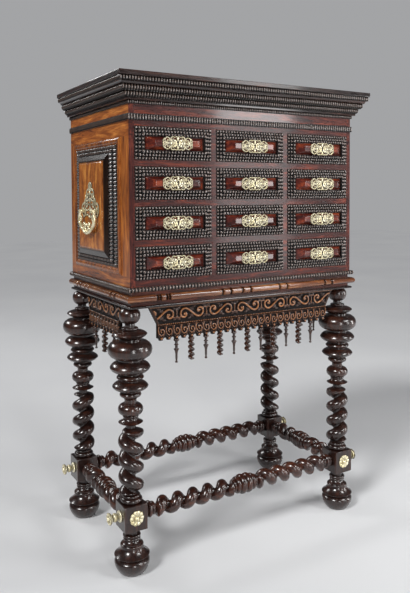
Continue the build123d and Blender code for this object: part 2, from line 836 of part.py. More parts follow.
half_block = block_side / 2
cross_length = 2 * (leg_x - half_block)
side_length = leg_back_y - leg_front_y - block_side
stretcher_starts = {
    "front": ((-leg_x + half_block, leg_front_y, stretcher_height), (1, 0, 0), cross_length, -1),
    "back": ((-leg_x + half_block, leg_back_y, stretcher_height), (1, 0, 0), cross_length, -1),
    "left": ((-leg_x, leg_front_y + half_block, stretcher_height), (0, 1, 0), side_length, 1),
    "right": ((leg_x, leg_front_y + half_block, stretcher_height), (0, 1, 0), side_length, -1),
}
for place_name, (start, direction, length, hand) in stretcher_starts.items():
    write_node(f"stretcher_{place_name}", [stretcher(start, direction, length, hand)])


# ------------------------------------------------------------------ aprons
def apron_board(face, top_length):
    """The carved board: a slant-ended panel with a sunk ground, and a lobed band below it."""
    band_length = top_length - 2 * apron_end_slant
    half_top, half_band = top_length / 2, band_length / 2
    band_bottom = -(apron_panel_height + apron_band_height)
    lobe_count = 2 * int(band_length / (2 * apron_lobe_pitch))
    ground_top, ground_bottom = half_top - 2 * apron_rim, half_band - apron_rim
    with BuildPart() as piece:
        with BuildSketch(face.offset(-apron_thickness / 2)):
            with BuildLine():
                Polyline(
                    (-half_top, 0),
                    (half_top, 0),
                    (half_band, -apron_panel_height),
                    (half_band, band_bottom),
                    (-half_band, band_bottom),
                    (-half_band, -apron_panel_height),
                    close=True,
                )
            make_face()
            with Locations((0, band_bottom)):
                with GridLocations(apron_lobe_pitch, 1, lobe_count, 1):
                    Circle(apron_lobe_depth, mode=Mode.SUBTRACT)
        extrude(amount=apron_thickness)
        with BuildSketch(face.offset(apron_thickness / 2)):
            with BuildLine():
                Polyline(
                    (-ground_top, -apron_rim),
                    (ground_top, -apron_rim),
                    (ground_bottom, apron_rim - apron_panel_height),
                    (-ground_bottom, apron_rim - apron_panel_height),
                    close=True,
                )
            make_face()
        extrude(amount=-apron_ground_depth, mode=Mode.SUBTRACT)
    return piece.part


def corkscrew(plane, hand):
    """A twisted drop hanging down along the plane's normal."""
    sizes = (corkscrew_radius, corkscrew_groove_radius, corkscrew_pitch)
    cap = (("bead", corkscrew_cap_height, corkscrew_cap_radius, corkscrew_cap_end_radius),)
    with BuildPart() as piece:
        add(turned_stack(plane, cap, corkscrew_cap_radius / 2, 0.0))
        add(twist(plane, corkscrew_cap_height, corkscrew_length, *sizes, hand))
    return piece.part


def apron(face, top_length, count, pitch):
    """An apron with its drops, spindles at the odd places and corkscrews at the even ones."""
    band_bottom = -(apron_panel_height + apron_band_height)
    spindle_length = sum(member[1] for member in spindle_members)
    pieces = [apron_board(face, top_length)]
    for number in range(count):
        across = (number - (count - 1) / 2) * pitch
        top = face.from_local_coords((across, band_bottom, 0))
        if number % 2 == 0:
            tip = face.from_local_coords((across, band_bottom - spindle_length, 0))
            upright = Plane(origin=tip, x_dir=(1, 0, 0), z_dir=(0, 0, 1))
            pieces.append(turned_stack(upright, spindle_members, drop_axis_radius, 0.0))
        else:
            hanging = Plane(origin=top, x_dir=(1, 0, 0), z_dir=(0, 0, -1))
            pieces.append(corkscrew(hanging, 1))
    return pieces


knob_radius = baluster_members[-1][2]
front_apron_length = 2 * (leg_x - knob_radius - apron_knob_gap)
side_apron_length = leg_back_y - leg_front_y - 2 * (knob_radius + apron_knob_gap)
apron_x = half_width - apron_inset
front_face = Plane(origin=(0, front_y + apron_inset, frame_bottom), x_dir=(1, 0, 0), z_dir=(0, -1, 0))
left_face = Plane(origin=(-apron_x, middle_y, frame_bottom), x_dir=(0, -1, 0), z_dir=(-1, 0, 0))
right_face = Plane(origin=(apron_x, middle_y, frame_bottom), x_dir=(0, 1, 0), z_dir=(1, 0, 0))
write_node("apron_front", apron(front_face, front_apron_length, front_drop_count, drop_pitch))
write_node("apron_left", apron(left_face, side_apron_length, side_drop_count, side_drop_pitch))
write_node("apron_right", apron(right_face, side_apron_length, side_drop_count, side_drop_pitch))


# ------------------------------------------------------------------ brass mounts
def side_knob(place, direction):
    """A brass knob that stands out of the side of a leg block."""
    return turned_stack(Plane(origin=place, z_dir=direction), side_knob_members, side_knob_stem_radius, 0.0)


def boss(place, direction):
    """A gilt rosette on the front of a leg block."""
    plane = Plane(origin=place, z_dir=direction)
    members = (
        ("neck", boss_rim_height, boss_radius, boss_dome_radius),
        ("bead", boss_height - boss_rim_height, boss_dome_radius, drop_axis_radius),
    )
    return turned_stack(plane, members, boss_radius, 0.0)


def ear_block(face, hand):
    """A bored ear that holds one end of a bail."""
    inner = bail_half_span - bail_rod_radius - ear_gap - ear_width
    pivot = face.offset(bail_standoff)
    centre = hand * (inner + ear_width / 2)
    with BuildPart() as piece:
        with BuildSketch(face):
            with Locations((centre, 0)):
                Rectangle(ear_width, ear_height)
        extrude(amount=bail_standoff + ear_tip)
        bore_plane = Plane(
            origin=pivot.from_local_coords((centre - ear_width, 0, 0)),
            x_dir=face.y_dir,
            z_dir=face.x_dir,
        )
        with BuildSketch(bore_plane):
            Circle(bail_pin_radius + bail_pin_clearance)
        extrude(amount=2 * ear_width, mode=Mode.SUBTRACT)
    return piece.part


def handle_plate(face):
    """The bell-shaped backplate with its two ears, seated on the raised side panel."""
    with BuildPart() as piece:
        with BuildSketch(face):
            for across, above, radius in handle_plate_rounds:
                with Locations((across, above)):
                    Circle(radius)
        extrude(amount=handle_plate_thickness)
        add(ear_block(face.offset(handle_plate_thickness), -1))
        add(ear_block(face.offset(handle_plate_thickness), 1))
    return piece.part


def bail(face):
    """A bowed rod whose two pins turn in the plate's ears."""
    pivot = face.offset(handle_plate_thickness + bail_standoff)
    ear_outer = bail_half_span - bail_rod_radius - ear_gap
    pin_length = bail_half_span - ear_outer + ear_width
    with BuildPart() as piece:
        with BuildLine(pivot) as bow:
            ThreePointArc((-bail_half_span, 0), (0, -bail_drop), (bail_half_span, 0))
        with BuildSketch(Plane(origin=bow.line @ 0, z_dir=bow.line % 0)):
            Circle(bail_rod_radius)
        sweep(path=bow.line)
        with Locations(bow.line @ 0.5):
            Sphere(bail_bud_radius)
        for hand in (-1, 1):
            end = pivot.from_local_coords((hand * bail_half_span, 0, 0))
            with BuildSketch(Plane(origin=end, x_dir=face.y_dir, z_dir=face.x_dir * -hand)):
                Circle(bail_pin_radius)
            extrude(amount=pin_length)
            with Locations(end):
                Sphere(bail_rod_radius)
    return piece.part


mounts = []
half = block_side / 2
for place_name, (x, y) in leg_places.items():
    outward = -1 if x < 0 else 1
    mounts.append(side_knob((x + outward * half, y, stretcher_height), (outward, 0, 0)))
    if place_name.startswith("front"):
        mounts.append(boss((x, y - half, stretcher_height), (0, -1, 0)))
for side_name, side_face in zip(("left", "right"), side_faces):
    centre = side_face.from_local_coords((0, bail_pivot_height - frame_middle_z, panel_height))
    plate_face = Plane(origin=centre, x_dir=side_face.x_dir, z_dir=side_face.z_dir)
    mounts.append(handle_plate(plate_face))
    write_node(f"bail_{side_name}", [bail(plate_face)])
write_node("brass_mounts", mounts)
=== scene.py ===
"""A drawer cabinet on a turned stand: its looks, piece by piece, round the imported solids."""

import math

import bmesh
import bpy
import numpy as np
from mathutils import Matrix, Vector


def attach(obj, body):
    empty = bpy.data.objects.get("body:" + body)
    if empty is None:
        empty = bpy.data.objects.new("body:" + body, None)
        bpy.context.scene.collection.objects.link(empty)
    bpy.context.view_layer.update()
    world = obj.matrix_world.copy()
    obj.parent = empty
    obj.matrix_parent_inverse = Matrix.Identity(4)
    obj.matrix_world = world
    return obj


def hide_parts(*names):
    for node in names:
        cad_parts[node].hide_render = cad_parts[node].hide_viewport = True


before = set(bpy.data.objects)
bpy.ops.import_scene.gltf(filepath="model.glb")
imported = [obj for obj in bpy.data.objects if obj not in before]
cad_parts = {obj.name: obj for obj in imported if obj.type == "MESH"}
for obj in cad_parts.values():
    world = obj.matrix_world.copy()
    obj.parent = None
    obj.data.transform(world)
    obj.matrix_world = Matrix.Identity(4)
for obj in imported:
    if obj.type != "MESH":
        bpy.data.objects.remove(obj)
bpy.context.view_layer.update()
MM = 0.001

# ---------------------------------------------------------------------------------------- the view
# A plain lens level with the drawers, left of the front. Four narrow lights stand where polished
# edges mirror them, one is behind and above, and a soft sun lights the pale floor evenly.
EYE = Vector((-1.18975, -1.98063, 1.12693))
YAW, PITCH, ROLL = 0.52949, 0.03956, -0.005193
FORWARD = Vector((math.sin(YAW) * math.cos(PITCH), math.cos(YAW) * math.cos(PITCH), -math.sin(PITCH)))
LEVEL = Vector((math.cos(YAW), -math.sin(YAW), 0))
RIGHT = LEVEL * math.cos(ROLL) + LEVEL.cross(FORWARD) * math.sin(ROLL)
UPWARD = RIGHT.cross(FORWARD)

lens = bpy.data.cameras.new("view")
lens.sensor_width = 36
lens.lens = 39.97
lens.shift_y = -0.1266
lens.clip_end = 60
eye = bpy.data.objects.new("view", lens)
turn = Matrix((RIGHT, UPWARD, -FORWARD)).transposed()
eye.matrix_world = Matrix.Translation(EYE) @ turn.to_4x4()
bpy.context.scene.collection.objects.link(eye)
bpy.context.scene.camera = eye
bpy.context.scene.view_settings.view_transform = "Standard"


def lamp(name, place, target, size, power):
    """A rectangular soft light aimed at a point."""
    data = bpy.data.lights.new(name, "AREA")
    data.shape = "RECTANGLE"
    data.size, data.size_y = size
    data.energy = power
    light = bpy.data.objects.new(name, data)
    aim = Vector(target) - Vector(place)
    light.matrix_world = Matrix.Translation(place) @ aim.to_track_quat("-Z", "Y").to_matrix().to_4x4()
    bpy.context.scene.collection.objects.link(light)


lamp("front_strip", (-0.7, -3.7, 1.3), (0, -0.2, 0.9), (0.35, 2.2), 46)
lamp("right_strip", (1.95, -3.05, 1.35), (0, -0.24, 1.15), (0.62, 1.7), 24)
lamp("side_strip", (3.4, -1.7, 1.2), (0.1, -0.2, 0.9), (0.4, 1.8), 45)
lamp("top_light", (1.4, -2.1, 2.5), (0, -0.2, 1.0), (1.1, 0.45), 34)
lamp("back_light", (-2.0, 3.2, 3.0), (-0.4, 0, 1.0), (1.6, 0.5), 50)
sun = bpy.data.lights.new("left_light", "SUN")
sun.energy, sun.angle = 2.4, math.radians(14)
sun_light = bpy.data.objects.new("left_light", sun)
sun_light.matrix_world = Vector((0.72, 0.32, -0.68)).to_track_quat("-Z", "Y").to_matrix().to_4x4()
bpy.context.scene.collection.objects.link(sun_light)


def colour(red, green, blue):
    """A colour given as 0 to 255 on a screen, as light."""
    return tuple(((c / 255 + 0.055) / 1.055) ** 2.4 for c in (red, green, blue))


class Flow:
    """A number, colour or direction on its way through a finish. Sums on it add the nodes."""

    def __init__(self, tree, socket):
        self.tree, self.socket = tree, socket

    def through(self, kind, settings, inputs, out=0):
        """A new node of a kind, set up first, then fed. Gives one of its outlets."""
        node = self.tree.nodes.new(kind)
        for key, value in settings.items():
            if key == "stops":
                ramp = node.color_ramp.elements
                ramp.remove(ramp[1])
                ramp[0].position, ramp[0].color = value[0][0], (*value[0][1], 1)
                for place, shade in value[1:]:
                    ramp.new(place).color = (*shade, 1)
            else:
                setattr(node, key, value)
        for key, value in inputs.items():
            if isinstance(value, Flow):
                self.tree.links.new(value.socket, node.inputs[key])
            else:
                node.inputs[key].default_value = value
        return Flow(self.tree, node.outputs[out])

    def sum(self, operation, first, second):
        """Maths on numbers, Mix on colours and Vector Math on directions."""
        kinds = {f.socket.type for f in (first, second) if isinstance(f, Flow)}
        if "RGBA" in kinds:
            pair = [f if isinstance(f, (Flow, tuple)) else (f, f, f, 1) for f in (first, second)]
            settings = {"data_type": "RGBA", "blend_type": operation}
            return self.through("ShaderNodeMix", settings, {0: 1.0, 6: pair[0], 7: pair[1]}, 2)
        if "VECTOR" in kinds:
            pair = [f if isinstance(f, (Flow, tuple)) else (f, f, f) for f in (first, second)]
            return self.through("ShaderNodeVectorMath", {"operation": operation}, dict(enumerate(pair)))
        return self.through("ShaderNodeMath", {"operation": operation}, {0: first, 1: second})

    def __add__(self, other):
        return self.sum("ADD", self, other)

    def __radd__(self, other):
        return self.sum("ADD", other, self)

    def __sub__(self, other):
        return self.sum("SUBTRACT", self, other)

    def __rsub__(self, other):
        return self.sum("SUBTRACT", other, self)

    def __mul__(self, other):
        return self.sum("MULTIPLY", self, other)

    def __rmul__(self, other):
        return self.sum("MULTIPLY", other, self)

    def clouds(self, size, detail=2.0, swirl=0.0):
        """Soft noise with lumps of about this size in metres, from 0 to 1."""
        inputs = {"Vector": self, "Scale": 1 / size, "Detail": detail, "Distortion": swirl}
        return self.through("ShaderNodeTexNoise", {}, inputs)

    def over(self, low, high, start=0.0, end=1.0):
        """This number spread evenly from start at low to end at high."""
        inputs = {0: self, 1: low, 2: high, 3: start, 4: end}
        return self.through("ShaderNodeMapRange", {}, inputs)

    def shade(self, *stops):
        """This number as a colour along a row of (place, colour)."""
        return self.through("ShaderNodeValToRGB", {"stops": stops}, {0: self})

    def toned(self, *colours, stops=(0.34, 0.5, 0.66)):
        """This number as the dark, middle and light colour of a wood, given as on a screen."""
        return self.shade(*((stop, colour(*tone)) for stop, tone in zip(stops, colours)))

    def stretched(self, along, share):
        """This place with its changes along one axis cut to a share, which draws a pattern out."""
        return self * tuple(share if axis == along else 1.0 for axis in range(3))

    def hollow(self):
        """How hollow the piece is at each place, from 0 to 1."""
        return self.through("ShaderNodeAttribute", {"attribute_name": "hollow"}, {}, 2)

    def toward(self, first, second):
        """From one colour to another as this number goes from 0 to 1."""
        pair = [f if isinstance(f, Flow) else (*f, 1) for f in (first, second)]
        return self.through("ShaderNodeMix", {"data_type": "RGBA"}, {0: self, 6: pair[0], 7: pair[1]}, 2)


def blank_finish(name):
    """A new material: its shader, and the place on the piece as a Flow."""
    material = bpy.data.materials.new(name)
    material.use_nodes = True
    tree = material.node_tree
    places = tree.nodes.new("ShaderNodeTexCoord")
    return material, tree.nodes["Principled BSDF"], Flow(tree, places.outputs["Object"])


def feed(shader, **links):
    """Link or set a shader's sockets, named with underscores for spaces."""
    for name, value in links.items():
        socket = shader.inputs[name.replace("_", " ")]
        if isinstance(value, Flow):
            value.tree.links.new(value.socket, socket)
        else:
            socket.default_value = value


def raised(height, depth, strength=1.0):
    """Light and shade from a height, depth metres from its lowest to its highest."""
    return height.through("ShaderNodeBump", {}, {"Strength": strength, "Distance": depth, "Height": height})


# The floor: pale seamless paper that runs on out of sight. The room shows pale, and mirrors darker.
floor_mesh = bpy.data.meshes.new("floor")
floor_mesh.from_pydata([(-14, -14, 0), (14, -14, 0), (14, 14, 0), (-14, 14, 0)], [], [(0, 1, 2, 3)])
floor = bpy.data.objects.new("floor", floor_mesh)
bpy.context.scene.collection.objects.link(floor)
paper, paper_shader, paper_place = blank_finish("paper")
feed(
    paper_shader,
    Base_Color=paper_place.clouds(0.9).shade((0.3, (0.60, 0.605, 0.615)), (0.7, (0.64, 0.645, 0.65))),
    Roughness=0.7,
)
floor_mesh.materials.append(paper)

room = bpy.data.worlds.new("room")
room.use_nodes = True
bpy.context.scene.world = room
rays = room.node_tree.nodes.new("ShaderNodeLightPath").outputs
seen, mirrored_in = (Flow(room.node_tree, rays[f"Is {kind} Ray"]) for kind in ("Camera", "Glossy"))
feed(
    room.node_tree.nodes["Background"],
    Color=seen.toward(mirrored_in.toward((0.13, 0.132, 0.14), (0.06, 0.06, 0.065)), (0.366, 0.37, 0.379)),
    Strength=1.0,
)

# -------------------------------------------------------------------------------------------- legs
# Four turned legs of dark hardwood: bun foot, square block for the stretchers, one open twist, and
# a baluster of stacked discs. A tenon at the top goes up into the stand's frame.
LEG_X, LEG_FRONT_Y, LEG_BACK_Y = 404, -193, 219
BLOCK_BOTTOM, BLOCK_TOP, BLOCK_SIDE = 134, 212, 73
TWIST_BOTTOM, TWIST_TOP, TWIST_PITCH = 236, 436, 53
TWIST_RADIUS, TWIST_GROOVE, TWIST_NECK, TWIST_START = 38.5, 13, 16, 15
STAND_FRAME_BOTTOM = 797


def grid(points):
    """A net of four-sided faces over rows of points that each close into a ring. Faces look to the
    side on which the rows turn anticlockwise into the columns. Points may bring a fourth number."""
    rows, columns = points.shape[:2]
    number = np.arange(rows * columns).reshape(rows, columns)
    number = np.hstack([number, number[:, :1]])
    corners = (number[:-1, :-1], number[1:, :-1], number[1:, 1:], number[:-1, 1:])
    faces = np.stack([c.ravel() for c in corners], axis=1)
    return points.reshape(-1, points.shape[2]), faces.tolist()


def joined(*shapes):
    """Several (points, faces) as one."""
    points, faces, start = [], [], 0
    for some_points, some_faces in shapes:
        points.append(np.asarray(some_points, float))
        faces += [[n + start for n in face] for face in some_faces]
        start += len(some_points)
    return np.vstack(points), faces


def ease(form, edge, rounds=2):
    """Rounds the edges of a form and keeps its broad faces dead flat up to the rounding."""
    rounded = bmesh.ops.bevel(
        form, geom=form.edges[:], offset=edge, segments=rounds, affect="EDGES", profile=0.5)
    broad = [face for face in form.faces if face not in set(rounded["faces"])]
    bmesh.ops.inset_individual(form, faces=broad, thickness=edge / 4)
    form.verts.index_update()


def chamfered_block(low, high, edge, rounds=2):
    """A block of wood with its edges eased."""
    form = bmesh.new()
    bmesh.ops.create_cube(form, size=1)
    low, high = Vector(low), Vector(high)
    for corner in form.verts:
        corner.co = Vector(a + (b - a) * (c + 0.5) for a, b, c in zip(low, high, corner.co))
    ease(form, edge, rounds)
    points = np.array([v.co for v in form.verts])
    faces = [[v.index for v in face.verts] for face in form.faces]
    form.free()
    return points, faces


def member_line(kind, bottom, rise, radius, largest, after, steps=9):
    """One turned member's outline from bottom up, as (radius, height) points."""
    t = np.linspace(0, 1, steps)
    base = radius + (after - radius) * t
    if kind == "bead":
        shoulder = max(min(largest - rise / 2, largest), 0)
        low, high = max(radius, shoulder), max(after, shoulder)
        angle = np.linspace(-math.pi / 2, math.pi / 2, steps)
        start = np.where(angle < 0, low, high)
        r = start + (largest - start) * np.cos(angle)
        z = bottom + rise * (0.5 + 0.5 * np.sin(angle))
        return list(zip(r, z))
    if kind in ("bowl", "flare"):
        widest = 0.72 if kind == "bowl" else 0.22
        t = np.concatenate([np.linspace(0, widest, steps), np.linspace(widest, 1, steps)[1:]])
        rising, falling = np.clip(t / widest, 0, 1), np.clip((1 - t) / (1 - widest), 0, 1)
        low = radius + (largest - radius) * np.sin(rising * math.pi / 2) ** 0.85
        fall = np.sin(falling * math.pi / 2) ** 0.85 if kind == "bowl" else falling ** 1.7
        return list(zip(np.where(t < widest, low, after + (largest - after) * fall), bottom + rise * t))
    if kind == "lens":
        bulge = (1 - np.abs(2 * t - 1) ** 1.6) ** 0.62
    elif kind == "cup":
        bulge = np.where(t < 0.22, np.sin(t / 0.22 * math.pi / 2), (1 - (t - 0.22) / 0.78) ** 1.8)
    else:
        bulge = np.sin(math.pi * t)
    return list(zip(base + (largest - base) * bulge, bottom + rise * t))


def stack(members, start_radius, bottom):
    """Turned members one above the other, as one outline."""
    line, radius, height = [], start_radius, bottom
    for kind, rise, largest, after in members:
        line += member_line(kind, height, rise, radius, largest, after)
        radius, height = after, height + rise
    return line


def lathe(line, sides=56):
    """An outline turned round the upright axis, closed at both ends."""
    angle = np.linspace(0, 2 * math.pi, sides, endpoint=False)
    r, z = np.array(line).T
    points = [np.outer(r, np.cos(angle)), np.outer(r, np.sin(angle)), np.outer(z, 0 * angle + 1)]
    net, faces = grid(np.stack(points, axis=2)[:, ::-1])
    last = len(line) * sides
    return net, faces + [list(range(sides)), list(range(last - 1, last - sides - 1, -1))]


def rope(bottom, length, outer, groove, pitch, hand, neck, run_in=9, sides=48, step=1.6,
         start_turn=0.0):
    """A single fat twist round the upright axis that swells out of its neck at both ends."""
    z = np.linspace(0, length, int(length / step) + 1)[:, None]
    angle = np.linspace(0, 2 * math.pi, sides, endpoint=False)[None, :]
    turn = (angle * hand - 2 * math.pi * z / pitch + start_turn + math.pi) % (2 * math.pi) - math.pi
    body = groove + (outer - groove) * np.clip(1 - (np.abs(turn) / math.pi / 0.84) ** 2.2, 0, 1) ** 0.7
    edge = np.clip(np.minimum(z, length - z) / run_in, 0, 1)
    body = neck + (body - neck) * np.sin(edge * math.pi / 2)
    points = np.stack([body * np.cos(angle), body * np.sin(angle), bottom + z + 0 * body], axis=2)
    return grid(points[:, ::-1])


def at(across, back, up):
    """A place, given in millimetres."""
    return Matrix.Translation(Vector((across, back, up)) * MM)


made = []


def piece(name, shape, finish, body="cabinet", node=(), place=None, smooth=38):
    """A finished piece in millimetres that rides on a body and stands for the named solids. A
    fourth number of its points is how hollow they are. A shape that comes again shares its mesh."""
    mesh = next((mesh for known, mesh in made if known is shape), None)
    if mesh is None:
        points, faces = np.asarray(shape[0]), shape[1]
        mesh = bpy.data.meshes.new(name)
        mesh.from_pydata((points[:, :3] * MM).tolist(), [], faces)
        mesh.validate()
        mesh.shade_smooth()
        mesh.set_sharp_from_angle(angle=math.radians(smooth))
        if points.shape[1] == 4:
            layer = mesh.attributes.new("hollow", "FLOAT", "POINT")
            layer.data.foreach_set("value", np.asarray(points[:, 3], np.float32))
        mesh.materials.append(finish)
        made.append((shape, mesh))
    thing = bpy.data.objects.new(name, mesh)
    if place is not None:
        thing.matrix_world = place
    bpy.context.scene.collection.objects.link(thing)
    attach(thing, body)
    if node:
        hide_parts(*node)
    return thing


def wood(name, dark, middle, light, along, gloss, figure=0.016, coat=0.5, pores=0.3, reach=9.0, glaze=0.1):
    """Polished wood. along is the grain's direction as 0, 1 or 2, and figure the width of its
    broader streaks in metres."""
    material, shader, place = blank_finish(name)
    fibres = place.stretched(along, 1 / reach)
    streaks = fibres.clouds(figure, 4.0, 1.1)
    lines = fibres.clouds(figure / 7, 3.0, 0.4)
    holes = fibres.clouds(0.0011, 1.0).over(0.60, 0.72)
    tone = (streaks * 0.66 + lines * 0.34).toned(dark, middle, light)
    hazy = place.clouds(0.16, 2.0).over(0.3, 0.7, 0.82, 1.15)
    # Where the piece is marked hollow, as in the notches of the half-round, the colour is darkened as
    # painted shade.
    low = place.hollow()
    feed(
        shader,
        Base_Color=tone * hazy * (holes * -pores + 1.0) * low.over(0.1, 0.7, 1.0, 0.04),
        Roughness=lines * 0.22 + holes * 0.18 + (gloss - 0.11),
        Specular_IOR_Level=0.25,
        Normal=raised(lines * 0.5 - holes * 0.6, 0.00035, 0.35),
        Coat_Weight=coat,
        Coat_Roughness=glaze,
    )
    return material


leg_wood = wood(
    "leg_wood", (20, 10, 8), (36, 18, 13), (60, 31, 20), 2, 0.3, 0.03, coat=0.9, glaze=0.17)

FOOT = (
    ("bowl", 49, 53, 40), ("flare", 30, 53, 33), ("bead", 8, 35, 30), ("flare", 12, 30, 22),
    ("bead", 8, 26, 18), ("bead", 9, 27, 18), ("neck", 18, 18, 18),
)
RINGS = (("bead", 16, 33, 24), ("bead", 8, 27, 18))
BALUSTER = (
    ("neck", 14, 15, 18), ("cup", 18, 38, 22), ("neck", 8, 24, 22), ("bead", 34, 38, 18),
    ("neck", 19, 18, 24), ("lens", 16, 32.5, 26), ("neck", 3, 26, 28), ("lens", 30, 54, 29),
    ("neck", 3, 29, 30), ("lens", 16, 41, 31), ("neck", 4, 31, 35), ("lens", 37, 60.5, 36),
    ("neck", 8, 36, 38), ("bead", 52, 67, 33), ("neck", 8, 33, 30), ("lens", 24, 52, 22),
    ("bead", 8, 25, 15), ("neck", 11, 15, 14), ("bead", 48, 32.5, 9),
)


def leg_shape(hand, start_turn):
    """A whole leg round its own axis."""
    half = BLOCK_SIDE / 2
    return joined(
        lathe([(33, 0)] + stack(FOOT, 36, 0)),
        chamfered_block((-half, -half, BLOCK_BOTTOM), (half, half, BLOCK_TOP), 2.2),
        lathe(stack(RINGS, 20, BLOCK_TOP)),
        rope(TWIST_BOTTOM, TWIST_TOP - TWIST_BOTTOM, TWIST_RADIUS, TWIST_GROOVE, TWIST_PITCH, hand,
             TWIST_NECK, start_turn=start_turn),
        lathe(stack(BALUSTER, 15, TWIST_TOP) + [(9, STAND_FRAME_BOTTOM + 30)]),
    )


LEGS = {
    "front_left": (-LEG_X, LEG_FRONT_Y, -1),
    "front_right": (LEG_X, LEG_FRONT_Y, 1),
    "back_left": (-LEG_X, LEG_BACK_Y, 1),
    "back_right": (LEG_X, LEG_BACK_Y, -1),
}
for corner, (x, y, hand) in LEGS.items():
    start = math.radians(TWIST_START) * (1 if hand > 0 else -1) * (1 if y < 0 else -1)
    start += math.pi if x < 0 else 0
    piece(f"leg_{corner}_turned", leg_shape(hand, start), leg_wood,
          node=[f"leg_{corner}"], place=at(x, y, 0))

# --------------------------------------------------------------------------------------- stretchers
# Four rails that tie the legs near the floor: rings at each block, a fat twist each way, and a
# group of turned rings in the middle. Round tenons go into the blocks.
STRETCHER_HEIGHT, STRETCHER_PITCH, STRETCHER_RADIUS, STRETCHER_GROOVE = 175, 54, 30, 9
STRETCHER_ENDS = (("bead", 12, 21, 16), ("bead", 14, 25, 16), ("bead", 12, 20, 15))
STRETCHER_MIDDLE = (
    ("bead", 10, 21, 17), ("bead", 14, 27, 20), ("bead", 22, 32, 22), ("bead", 22, 32, 20),
    ("bead", 14, 27, 17), ("bead", 10, 21, 15),
)
stretcher_wood = wood(
    "stretcher_wood", (24, 12, 9), (48, 23, 15), (84, 43, 25), 2, 0.3, 0.03, coat=0.9, glaze=0.17)


def moved(shape, by=(0, 0, 0), axes=(0, 1, 2), flip=(1, 1, 1)):
    """A shape with its axes in another order, then flipped by -1, then shifted."""
    points, faces = shape
    points = np.array(points, float)
    points[:, :3] = points[:, axes] * flip + by
    return points, faces


def stretcher_shape(length, hand):
    """A stretcher standing up: it is laid down when it is fitted."""
    ends = sum(member[1] for member in STRETCHER_ENDS)
    middle = sum(member[1] for member in STRETCHER_MIDDLE)
    twist = (length - middle) / 2 - ends
    rings = lathe([(10, -20), (10, 0)] + stack(STRETCHER_ENDS, 15, 0))
    near, far = (
        joined(rings, rope(ends, twist, STRETCHER_RADIUS, STRETCHER_GROOVE, STRETCHER_PITCH, turn, 14))
        for turn in (hand, -hand))
    centre = lathe(stack(STRETCHER_MIDDLE, 15, ends + twist))
    return joined(near, moved(far, (0, 0, length), flip=(1, -1, -1)), centre)


half_block = BLOCK_SIDE / 2
across, along = 2 * (LEG_X - half_block), LEG_BACK_Y - LEG_FRONT_Y - BLOCK_SIDE
STRETCHERS = {
    "front": ((-LEG_X + half_block, LEG_FRONT_Y), 0, across, -1),
    "back": ((-LEG_X + half_block, LEG_BACK_Y), 0, across, -1),
    "left": ((-LEG_X, LEG_FRONT_Y + half_block), 1, along, 1),
    "right": ((LEG_X, LEG_FRONT_Y + half_block), 1, along, -1),
}
for side, ((x, y), axis, length, hand) in STRETCHERS.items():
    lay = Matrix.Rotation(math.pi / 2, 4, "Y") if axis == 0 else Matrix.Rotation(-math.pi / 2, 4, "X")
    piece(f"stretcher_{side}_turned", stretcher_shape(length, hand), stretcher_wood,
          node=[f"stretcher_{side}"], place=at(x, y, STRETCHER_HEIGHT) @ lay)

# ------------------------------------------------------------------------------------------ bosses
# Cast and gilt brass on the leg blocks: a chased rosette pinned on the front of each front block,
# and on the outer side of every block a knob, a turned stem that carries a smaller rosette.
BOSS_RADIUS, BOSS_HEIGHT = 22.5, 9
KNOB_RADIUS, KNOB_REACH, KNOB_HEAD = 18, 43, 9
KNOB_STEM = (
    ("bead", 6, 17, 8), ("neck", 6, 7, 9), ("bead", 13, 13, 8), ("neck", 5, 7, 8), ("bead", 5, 16, 12),
)


def facing(place, out):
    """Stands a piece drawn as (across, above, outwards) at a place in millimetres."""
    out, up = Vector(out), Vector((0, 0, 1))
    turn = Matrix((up.cross(out), up, out)).transposed()
    return at(*place) @ turn.to_4x4()


def rosette(radius, height, petals=10):
    """A domed flower with a scalloped rim, lowest where it is most hollow."""
    rings, sides = 34, 14 * petals
    t = np.linspace(0.03, 1, rings)[:, None]
    angle = np.linspace(0, 2 * math.pi, sides, endpoint=False)[None, :]
    petal = np.abs(np.cos(angle * petals / 2)) ** 0.55
    dome = height * np.sqrt(np.clip(1 - (t / 0.33) ** 2, 0, 1))
    ring = 1.3 * np.exp(-(((t - 0.42) / 0.045) ** 2))
    leaf = 1.6 + 3.2 * petal * np.sin(math.pi * np.clip((t - 0.46) / 0.6, 0, 1))
    rise = np.maximum(dome, np.maximum(ring + 1.6, leaf * (t > 0.44)))
    reach = radius * t * (1 - 0.09 * t ** 4 * (1 - petal))
    face = np.stack([reach * np.cos(angle), reach * np.sin(angle), rise], axis=2)
    points, faces = grid(np.vstack([face, face[-1:] * (1, 1, 0)]))
    last = rings * sides
    faces += [list(range(sides))[::-1], list(range(last, last + sides))]
    return np.column_stack([points, 1 - np.clip(points[:, 2] / 4.2, 0, 1)]), faces


def gilt(name, bright, dull, hollow):
    """Gilt brass, rubbed bright on the high places and dark where dirt lies."""
    material, shader, place = blank_finish(name)
    low = place.hollow()
    dirt = (low * 1.25 + place.clouds(0.006, 3.0) * 0.7 - 0.45).over(0.0, 1.0)
    worn = place.clouds(0.012, 2.0).over(0.35, 0.65)
    feed(
        shader,
        Base_Color=dirt.toward(worn.toward(colour(*dull), colour(*bright)), colour(*hollow)),
        Metallic=dirt.over(0, 1, 0.6, 0.3),
        Roughness=dirt * 0.3 + 0.26,
        Normal=raised(place.clouds(0.003, 2.0), 0.0004, 0.25),
    )
    return material


